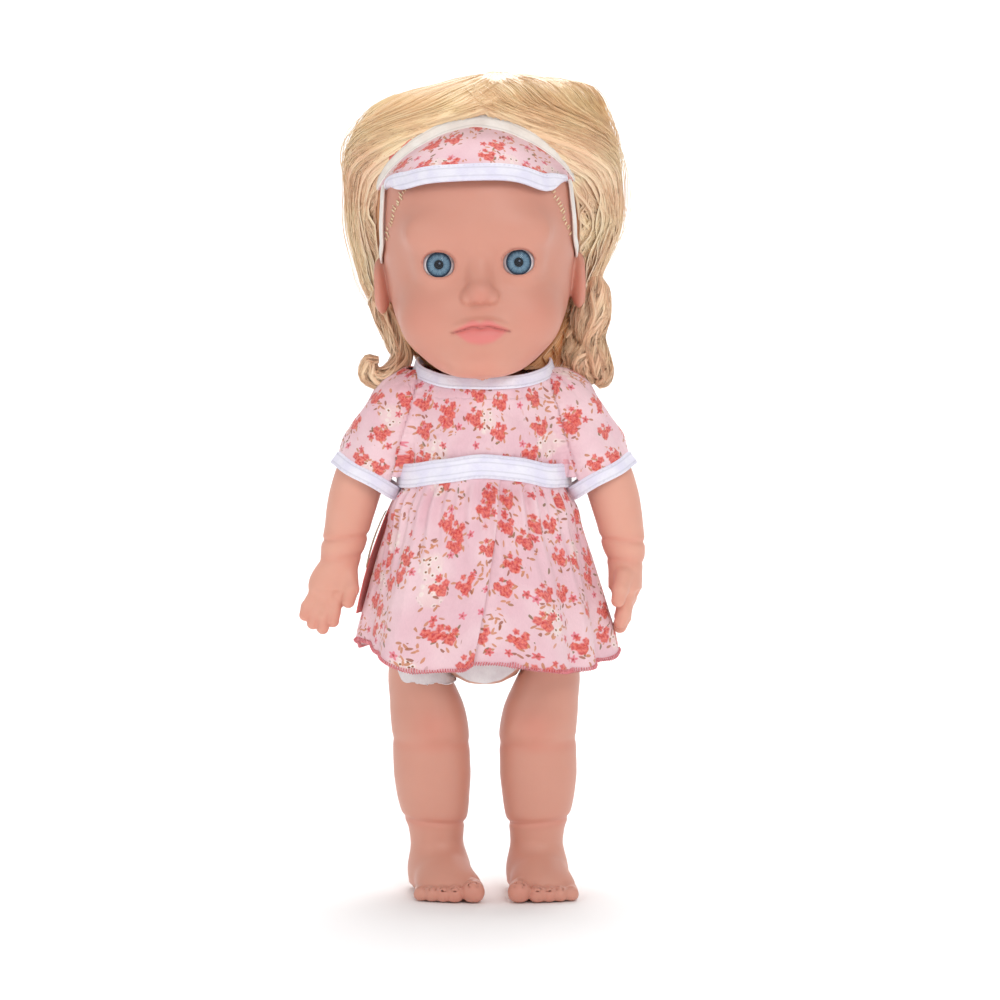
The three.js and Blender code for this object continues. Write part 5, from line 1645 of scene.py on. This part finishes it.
# the nape: locks painted in the shaded hair colours that hang from behind the ears down beside the neck
for label, side in SIDES:
    q = rng.uniform(0, 0.42, NAPE_COUNT)[:, None]
    t = np.linspace(0, 1, NAPE_STEPS)[None]
    z = 266 - (266 - rng.uniform(219, 226, NAPE_COUNT)[:, None]) * t
    sink = rng.uniform(1.8, 4.4, NAPE_COUNT)[:, None] + 0.6 * np.sin(5 * t + 9 * q)
    q_path = np.clip(q + 0.012 * np.sin(7 * t + 20 * q), 0, 1)
    paths = hair_place(side, q_path, z, sink, forward=30)
    out = hair_place(side, q_path, z, sink - 2, forward=30) - paths + 1e-6
    out = unit_length(out)
    widths = rng.uniform(1.4, 3.2, NAPE_COUNT)[:, None] * np.clip((1.05 - t) / 0.3, 0.15, 1)
    nape = ribbon_mesh(f"hair_nape_{label}", paths, out, widths, HAIR_SHADED, rng, crown=0.22)
    settle(nape, "head", "hair_fibre")
    # extra strands that thicken the front edge beside the face
    paths, _ = hair_paths(rng, EDGE_COUNT, STRAND_STEPS, side, (0.0, 0.2), 0.03, (-0.4, 1.8), 1.2)
    edge = strand_mesh(f"hair_edge_{label}", paths, rng.uniform(0.14, 0.3, EDGE_COUNT), HAIR, rng)
    settle(edge, "head", "hair_fibre")

# the crown: short locks that fan out from the whorl and close the top
for label, side in SIDES:
    q = rng.uniform(0, 1, CROWN_COUNT)
    z = np.linspace(347.6, 339, RIM_STEPS)
    rim = hair_place(side, q[:, None], z[None], rng.uniform(0.2, 2.6, CROWN_COUNT)[:, None])
    whorl = np.array([5.5, 4.5, 347.9]) + rng.normal(0, 1, (CROWN_COUNT, 3)) * [1.2, 1.2, 0.15]
    t = np.linspace(0, 1, WHORL_STEPS + 1)[None, :-1, None]
    inner = whorl[:, None] * (1 - t) + rim[:, :1] * t + np.array([0, 0, 0.5]) * np.sin(math.pi * t)
    paths = np.concatenate([inner, rim], 1)
    out = np.broadcast_to([0, 0, 1.0], paths.shape)
    steps = WHORL_STEPS + RIM_STEPS
    fan = np.clip(np.linspace(0.25, 2.2, steps), 0, 1) * np.clip(np.linspace(3.2, 0.15, steps), 0, 1)
    widths = rng.uniform(1.6, 3.2, CROWN_COUNT)[:, None] * fan[None]
    crown = ribbon_mesh(f"hair_crown_{label}", paths, out, widths, HAIR, rng, crown=0.15)
    settle(crown, "head", "hair_fibre")


def lock_along(name, guide, radius, count, steps, curl):
    """A separate curled lock: ribbons and strands round one guide line."""
    guide = np.asarray(guide, float)
    knots = np.linspace(0, 1, len(guide))
    t = np.linspace(0, 1, steps)
    centre = np.stack([curve_through(t, knots, guide[:, n]) for n in range(3)], 1)
    a = rng.uniform(0, 2 * math.pi, count)
    r = np.sqrt(rng.uniform(0, 1, count)) * radius * rng.uniform(0.8, 1.15, count)
    twist = a[:, None] + curl * t[None] + 0.5 * np.sin(9 * t[None] + 5 * a[:, None])
    full = np.clip(t / 0.15 + 0.45, 0, 1) * np.clip((1.12 - t) / 0.4, 0.15, 1)
    tangent = tangents(centre)
    e1 = np.cross(tangent, [0.1, 1.0, 0.2])
    e1 = unit_length(e1)
    e2 = np.cross(tangent, e1)
    off = (
        (r[:, None] * full)[:, :, None]
        * (np.cos(twist)[:, :, None] * e1[None] + np.sin(twist)[:, :, None] * e2[None])
    )
    paths = centre[None] + off
    out = off / (np.linalg.norm(off, axis=2, keepdims=True) + 1e-6)
    half = count // 7
    widths = rng.uniform(0.7, 1.7, half)[:, None] * full[None]
    flat = ribbon_mesh(f"{name}_locks", paths[:half], out[:half], widths, HAIR, rng, crown=0.2)
    thin = strand_mesh(
        f"{name}_strands", paths[half:], rng.uniform(0.11, 0.20, count - half), HAIR, rng,
    )
    for piece in (flat, thin):
        settle(piece, "head", "hair_fibre")


lock_along(
    "hair_curl_right",
    [
        (-43, 14, 250), (-37.5, 10, 238), (-35, 6, 229), (-38, 2, 222), (-44, 0, 218.6),
        (-49, -1, 221.5), (-48.5, -1.5, 226.5), (-44.5, -1.5, 227),
    ],
    4.6, 627, 30, 2,
)
lock_along(
    "hair_end_right", [(-46, 16, 256), (-41, 14, 243), (-36.5, 12, 233), (-33.5, 10, 226)], 5, 495,
    24, 1,
)
lock_along(
    "hair_end_left_1",
    [(48, 10, 262), (49, 8, 248), (46.5, 6, 236), (49, 4, 226), (50.5, 3, 219), (48, 3, 215.5)], 5,
    627, 30, 2.5,
)
lock_along(
    "hair_end_left_2",
    [(44, 12, 256), (42, 10, 244), (44.5, 8, 234), (41, 6, 226), (43, 5, 220), (47, 4, 217.5)], 4.6,
    561, 30, 2,
)
lock_along(
    "hair_end_left_3", [(41, 18, 250), (38, 16, 238), (37, 13, 230), (36, 11, 224)], 4.6, 462, 24,
    1.5,
)


# rooted stitches: the short ends that show along both temples
def on_head(x, z, start=-60.0):
    """The front-most point of the head at (x, z), found by stepping along +y."""
    p = np.array([x, start + 0 * x, z]).T.copy()
    for _ in range(60):
        p[:, 1] += np.clip(head_field(p), -2, 6) * 0.7
    return p


for label, side in SIDES:
    t = np.linspace(0, 1, ROOT_COUNT)
    x = side * (28.5 + 9.2 * t + 0.9 * np.sin(3 * t)) + rng.normal(0, 0.25, ROOT_COUNT)
    z = 300.5 - 22 * t + rng.normal(0, 0.3, ROOT_COUNT)
    root = on_head(x, z)
    tip = on_head(x + side * rng.uniform(0.8, 1.5, ROOT_COUNT), z + rng.uniform(1.0, 1.9, ROOT_COUNT))
    mid = (root + tip) / 2 + np.array([side * 0.2, -0.35, 0.1])
    paths = np.stack([root, (root + mid) / 2, mid, (mid + tip) / 2, tip], 1) + np.array([0, -0.12, 0])
    dots = strand_mesh(f"hair_roots_{label}", lean(paths), np.full(ROOT_COUNT, 0.48), HAIR, rng)
    settle(dots, "head", "hair_fibre")

# ---------------------------------------------------------------- visor
CREAM = cloth_material(
    "cream_elastic", rgb(250, 245, 238), rgb(242, 234, 226), rows=True, pitch=0.9, sheen=0.2,
)


def head_at(a, z):
    """The head's surface at an angle from the front and a height, with its outward direction."""
    direction = np.stack([np.sin(a), -np.cos(a), 0 * a], 1)
    p = np.stack([0 * a, 0 * a, z], 1) + direction * 62
    for _ in range(60):
        p = p - direction * np.clip(section_field(p, HEAD, 2.25), -2, 8)[:, None] * 0.7
    _, normal = slope_of(lambda q: section_field(q, HEAD, 2.25), p)
    return p, normal


BAND_TURN = [-84, -72, -56, -40, -20, 0, 20, 40, 56, 72, 84]
BAND_Z = [299.5, 302.5, 309, 315.6, 321.4, 323.2, 321.4, 315.6, 309, 302.5, 299.5]
BAND_STEPS, BRIM_ROWS = 150, 46
a = np.radians(np.linspace(-84, 84, BAND_STEPS))
skull, normal = head_at(a, curve_through(np.degrees(a), BAND_TURN, BAND_Z))
tangent = tangents(skull)
radial = np.stack([np.sin(a), -np.cos(a), 0 * a], 1)
stand = radial + 0.35 * normal
stand -= (stand * tangent).sum(1)[:, None] * tangent
stand = unit_length(stand)
across = np.cross(stand, tangent)
across *= np.sign(across[BAND_STEPS // 2, 2])
band_line = skull + normal * 2.4 + across * 1.2
band_width = 4.2 + 2.6 * np.cos(a) ** 2
head_band = band("visor_headband", lean(band_line), stand, across, band_width, 1.3, CREAM, closed=False)
settle(head_band, "head", "white_cotton", "visor_band")

# lining that peeps out behind the band on the doll's right
part = slice(14, 78)
peep_line = band_line[part] + across[part] * (band_width[part, None] / 2 + 1.7) + stand[part] * 0.2
peep = band("visor_lining", lean(peep_line), stand[part], across[part], 3.4, 0.8, LINING, closed=False)
settle(peep, "head", "print_cotton")

# the printed brim: from the band out to its bound edge
s = np.linspace(-1, 1, BAND_STEPS)
phi = s * math.pi / 2
edge = np.stack([
    34.8 * np.sin(phi), -12 - 36.5 * np.abs(np.cos(phi)) ** 0.75,
    302.2 - 1.0 * np.sin(phi) ** 2 - 4.2 * np.exp(-((s - 0.62) / 0.24) ** 2)
    - 1.6 * np.exp(-((s + 0.66) / 0.2) ** 2),
], 1)
upper = band_line - across * (band_width[:, None] / 2 - 0.8) - stand * 0.4
w = np.linspace(0, 1, BRIM_ROWS)[:, None, None]
bulge = np.stack([0 * s, -3.6 * np.cos(phi), 0.8 * np.cos(phi)], 1)
brim = upper[None] * (1 - w) + edge[None] * w + 4 * w * (1 - w) * bulge[None]
brim += 0.25 * np.sin(9 * phi + 1)[None, :, None] * w * np.array([0, 0, 1.0])
quads = grid_faces(BRIM_ROWS, BAND_STEPS)
brim_piece = make_object("visor_brim_cloth", lean(brim.reshape(-1, 3)), quads, PRINT)
give(
    brim_piece, "cloth",
    np.stack(np.broadcast_arrays(s * 55, w[..., 0] * 36 + 900, 0.0), -1).reshape(-1, 3),
)
thickened(brim_piece, 1.2, 0.0)
settle(brim_piece, "head", "print_cotton", "visor_brim")

inner = brim[-4]
across = edge - inner
across = unit_length(across)
tangent = tangents(edge)
across -= (across * tangent).sum(1)[:, None] * tangent
across = unit_length(across)
out = np.cross(tangent, across)
out *= -np.sign(out[BAND_STEPS // 2, 1])
rim_width = 4.4 + 3.0 * np.clip(2.2 * np.cos(phi), 0, 1)
rim = band(
    "visor_binding", lean(edge - across * (rim_width[:, None] / 2 - 1)), out, across, rim_width,
    2.0, TWILL, closed=False,
)
row = stitches(
    "visor_binding_stitches", lean(edge - across * (rim_width[:, None] - 1.9) + out * 1.0), out,
    WHITE_THREAD,
)
settle(rim, "head", "white_cotton", "visor_trim")
settle(row, "head", "white_cotton")

for label, side in SIDES:
    t = np.linspace(0, 1, 50)
    turn_at = np.radians(curve_through(t, [0, 0.3, 0.75, 1], [72, 68, 73, 94]))
    z = curve_through(t, [0, 0.3, 0.75, 1], [302.5, 294, 277, 270])
    strap_line, strap_out = head_at(side * turn_at, z)
    tangent = tangents(strap_line)
    strap_across = np.cross(tangent, strap_out)
    strap = band(
        f"visor_strap_{label}", lean(strap_line + strap_out * 1.1), strap_out, strap_across, 4.2, 1.1, CREAM,
        closed=False,
    )
    settle(strap, "head", "white_cotton", *(["visor_strap"] if label == "left" else []))

# ---------------------------------------------------------------- back closure
rows, columns = 30, 20
v, w = np.meshgrid(np.linspace(0, 1, rows), np.linspace(-1, 1, columns), indexing="ij")
height = 189.5 + 25.5 * v
ry = (
    curve_through(height.ravel(), YOKE[:, 0], YOKE[:, 2]).reshape(v.shape)
    + 1.2 * np.exp(-(((height - 196) / 8) ** 2))
)
x = 7.2 * w + 1.0
lap = np.stack([x, ry * np.sqrt(1 - (x / 34) ** 2) + 0.75 + 0.15 * np.sin(9 * v + 3 * w), height], -1)
placket = make_object("back_placket", lap.reshape(-1, 3), grid_faces(rows, columns)[:, ::-1], PRINT)
give(placket, "cloth", np.stack([x.ravel() + 1200, height.ravel(), 0 * x.ravel()], 1))
thickened(placket, 0.9, 0.0)
settle(placket, "torso", "white_cotton", "back_closure")
for k, column in enumerate((2, columns - 3)):
    line = lap[:, column] + [0, 0.55, 0]
    row = stitches(f"placket_stitches_{k + 1}", line, np.tile([0, 1.0, 0], (rows, 1)), PINK_THREAD)
    settle(row, "torso", "white_cotton")


# ---------------------------------------------------------------- carried-over solids
def plastic(name, colour, deep, roughness=0.42, grain=1800):
    """Moulded plastic: fine spark-eroded grain, a slow colour drift and slightly rubbed high spots."""
    n = Nodes(name)
    where = n.coordinates()
    drift = n.noise(where, 40, 3, 0.5)
    rub = n.noise(where, 320, 4, 0.6)
    n.set(Base_Color=n.mix(n.ramp(drift, 0.35, 0.65), colour, deep))
    n.set(Roughness=n.ramp(rub, 0.3, 0.7, roughness - 0.08, roughness + 0.08), IOR=1.46)
    n.set(Normal=n.bump(n.noise(where, grain, 2, 0.5), 0.00005, 0.4))
    return n.material


def metal(name, colour, roughness):
    """Plated steel with fine scratches that all run one way."""
    n = Nodes(name)
    where = n.vector("MULTIPLY", n.coordinates(), (1.0, 1.0, 14.0))
    scratch = n.noise(where, 260, 4, 0.6)
    n.set(Base_Color=n.mix(scratch, colour, tuple(0.7 * c for c in colour)), Metallic=1.0)
    n.set(
        Roughness=n.ramp(scratch, 0.3, 0.7, roughness, roughness + 0.2),
        Normal=n.bump(scratch, 0.00003, 0.4),
    )
    return n.material


def board_material():
    """Circuit board: green mask with paler copper tracks running square across it."""
    n = Nodes("board_green")
    x, _, z = n.split(n.coordinates())
    track = n.cells(n.combine(x, z, 0.0), 260, 0.0)
    line = n.ramp(track.outputs["Distance"], 0.30, 0.36)
    n.set(Base_Color=n.mix(line, rgb(34, 96, 58), rgb(70, 138, 84)), Roughness=0.35)
    n.set(Normal=n.bump(line, 0.00006, 0.5))
    return n.material


def paper_material():
    """Pressed paper of a speaker cone: short matted fibres."""
    n = Nodes("speaker_paper")
    fibre = n.noise(n.coordinates(), 700, 5, 0.7)
    n.set(
        Base_Color=n.mix(fibre, rgb(52, 50, 50), rgb(34, 33, 34)), Roughness=0.9,
        Normal=n.bump(fibre, 0.0001, 0.6),
    )
    return n.material


def battery_material():
    """Printed battery sleeve: dark body with a coppery band near one end."""
    n = Nodes("cell_wrap")
    scuff = n.noise(n.coordinates(), 420, 4, 0.6)
    height = n.split(n.coordinates("Generated"))[2]
    band_here = n.ramp(height, 0.70, 0.72)
    tone = n.mix(band_here, rgb(38, 40, 46), rgb(196, 128, 70))
    n.set(Base_Color=n.mix(n.ramp(scuff, 0.6, 0.75, 0, 0.3), tone, rgb(160, 160, 165)))
    n.set(Roughness=n.ramp(scuff, 0.3, 0.7, 0.25, 0.4), Metallic=0.3)
    return n.material


BODY_PLASTIC = plastic("torso_plastic", rgb(236, 190, 168), rgb(228, 178, 156), 0.5)
WHITE_PLASTIC = plastic("white_plastic", rgb(236, 234, 230), rgb(226, 224, 220))
BLACK_PLASTIC = plastic("black_plastic", rgb(40, 40, 42), rgb(30, 30, 33), 0.45)
PINK_PLASTIC = plastic("button_pink", rgb(240, 120, 150), rgb(228, 100, 134), 0.32)
STEEL = metal("steel", rgb(196, 198, 204), 0.22)
BRASS = metal("contact_steel", rgb(206, 196, 176), 0.3)
LOOKS = {
    "torso_front_shell": BODY_PLASTIC, "torso_back_shell": BODY_PLASTIC, "battery_door": BODY_PLASTIC,
    "battery_tray": BLACK_PLASTIC, "battery_door_screw": STEEL, "circuit_board": board_material(),
    "sound_chip": BLACK_PLASTIC, "push_button": PINK_PLASTIC,
    "switch_housing": BLACK_PLASTIC, "switch_slider": WHITE_PLASTIC,
    "speaker_frame": BLACK_PLASTIC, "speaker_magnet": STEEL, "speaker_cone": paper_material(),
    "contact_plate_top": BRASS, "contact_plate_bottom": BRASS, "shoulder_hub_left": WHITE_PLASTIC,
    "shoulder_hub_right": WHITE_PLASTIC, "hip_hub_left": WHITE_PLASTIC, "hip_hub_right": WHITE_PLASTIC,
    "eye_cup_left": WHITE_PLASTIC, "eye_cup_right": WHITE_PLASTIC,
}
CELL = battery_material()
for name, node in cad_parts.items():
    look = LOOKS.get(name)
    if name.startswith("battery_") and name[-1].isdigit():
        look = CELL
    if name.startswith("torso_screw"):
        look = STEEL
    if look is not None:
        node.data.materials.clear()
        node.data.materials.append(look)

# the spring behind the belly button: a coil of steel wire, built at one length, though the real one shortens
# as the button goes in
SPRING_TURNS, SPRING_RADIUS, WIRE_RADIUS = 5, 4.1, 0.25
SPRING_BACK, SPRING_FRONT, SPRING_HEIGHT = -18.4, -21.9, 132
t = np.linspace(0, 1, 60 * SPRING_TURNS)
spin = 2 * math.pi * SPRING_TURNS * t
radial = np.stack([np.cos(spin), 0 * spin, np.sin(spin)], 1)
depth = SPRING_BACK - WIRE_RADIUS + (SPRING_FRONT - SPRING_BACK + 2 * WIRE_RADIUS) * t
a = np.linspace(0, 2 * math.pi, 8, endpoint=False)
centre = SPRING_RADIUS * radial + np.stack([0 * t, depth, SPRING_HEIGHT + 0 * t], 1)
around = np.cos(a)[None, :, None] * radial[:, None] + np.sin(a)[None, :, None] * np.array([0, 1.0, 0])
wire = (centre[:, None] + WIRE_RADIUS * around).reshape(-1, 3)
coil = make_object("button_coil", wire, grid_faces(len(t), 8, closed=True), STEEL)
settle(coil, "torso", "steel", "button_spring")
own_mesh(coil)

# ---------------------------------------------------------------- camera, floor and light
TARGET = place_one((6.8, -8, 167.8))
DISTANCE, ELEVATION = 1.5, 3.5
FRAME_WIDTH = 0.4227  # metres across the picture at the doll
SENSOR_WIDTH = 36
camera_data = bpy.data.cameras.new("camera")
camera_data.lens = SENSOR_WIDTH * DISTANCE / FRAME_WIDTH
camera = bpy.data.objects.new("camera", camera_data)
elevation = math.radians(ELEVATION)
camera.location = (
    TARGET[0], TARGET[1] - DISTANCE * math.cos(elevation),
    TARGET[2] + DISTANCE * math.sin(elevation),
)
camera.rotation_euler = (Vector(TARGET) - camera.location).to_track_quat("-Z", "Y").to_euler()
bpy.context.scene.collection.objects.link(camera)
bpy.context.scene.camera = camera
bpy.context.scene.view_settings.view_transform = "Standard"


def floor_material():
    """Almost white matt floor with a barely visible drift."""
    n = Nodes("studio_floor")
    n.set(
        Base_Color=n.mix(n.noise(n.coordinates(), 3, 2), rgb(250, 250, 250), rgb(253, 253, 253)),
        Roughness=0.9,
    )
    return n.material


def studio_floor():
    """A pale floor that curves up into a backdrop."""
    s = np.linspace(0, 1, 60)
    run, radius = 2.2, 1.0
    y = np.where(s < 0.5, -run + 2 * s * (run + 0.9), 0.9 + radius * np.sin((s - 0.5) * math.pi))
    z = np.where(s < 0.5, 0, radius * (1 - np.cos((s - 0.5) * math.pi)))
    y, z = np.append(y, y[-1]), np.append(z, 4.0)
    across = np.linspace(-3, 3, 13)
    grid = np.stack([np.tile(across, len(y)), np.repeat(y, 13), np.repeat(z, 13)], 1)
    floor = make_object(
        "studio_floor", (grid - ORIGIN) * 1000, grid_faces(len(y), 13), floor_material(),
    )


studio_floor()


def area_light(name, location, size, power, aim=(0, 0, 0.18)):
    """A round soft light that points at the doll unless told otherwise."""
    data = bpy.data.lights.new(name, "AREA")
    data.shape, data.size, data.energy = "DISK", size, power
    light = bpy.data.objects.new(name, data)
    light.location = location
    light.rotation_euler = (Vector(aim) - light.location).to_track_quat("-Z", "Y").to_euler()
    bpy.context.scene.collection.objects.link(light)


area_light("key", (0.45, -1.4, 1.0), 0.7, 7.7)
area_light("fill", (-1.1, -1.2, 0.55), 1.2, 2.9)
area_light("rim", (0.2, 1.1, 1.2), 1.0, 5)
area_light("backdrop", (0, 0.6, 2.6), 1.5, 36, aim=(0, 1.9, 0.9))
world = bpy.data.worlds.new("studio")
world.use_nodes = True
world.node_tree.nodes["Background"].inputs["Color"].default_value = (1, 1, 1, 1)
world.node_tree.nodes["Background"].inputs["Strength"].default_value = 0.56
bpy.context.scene.world = world
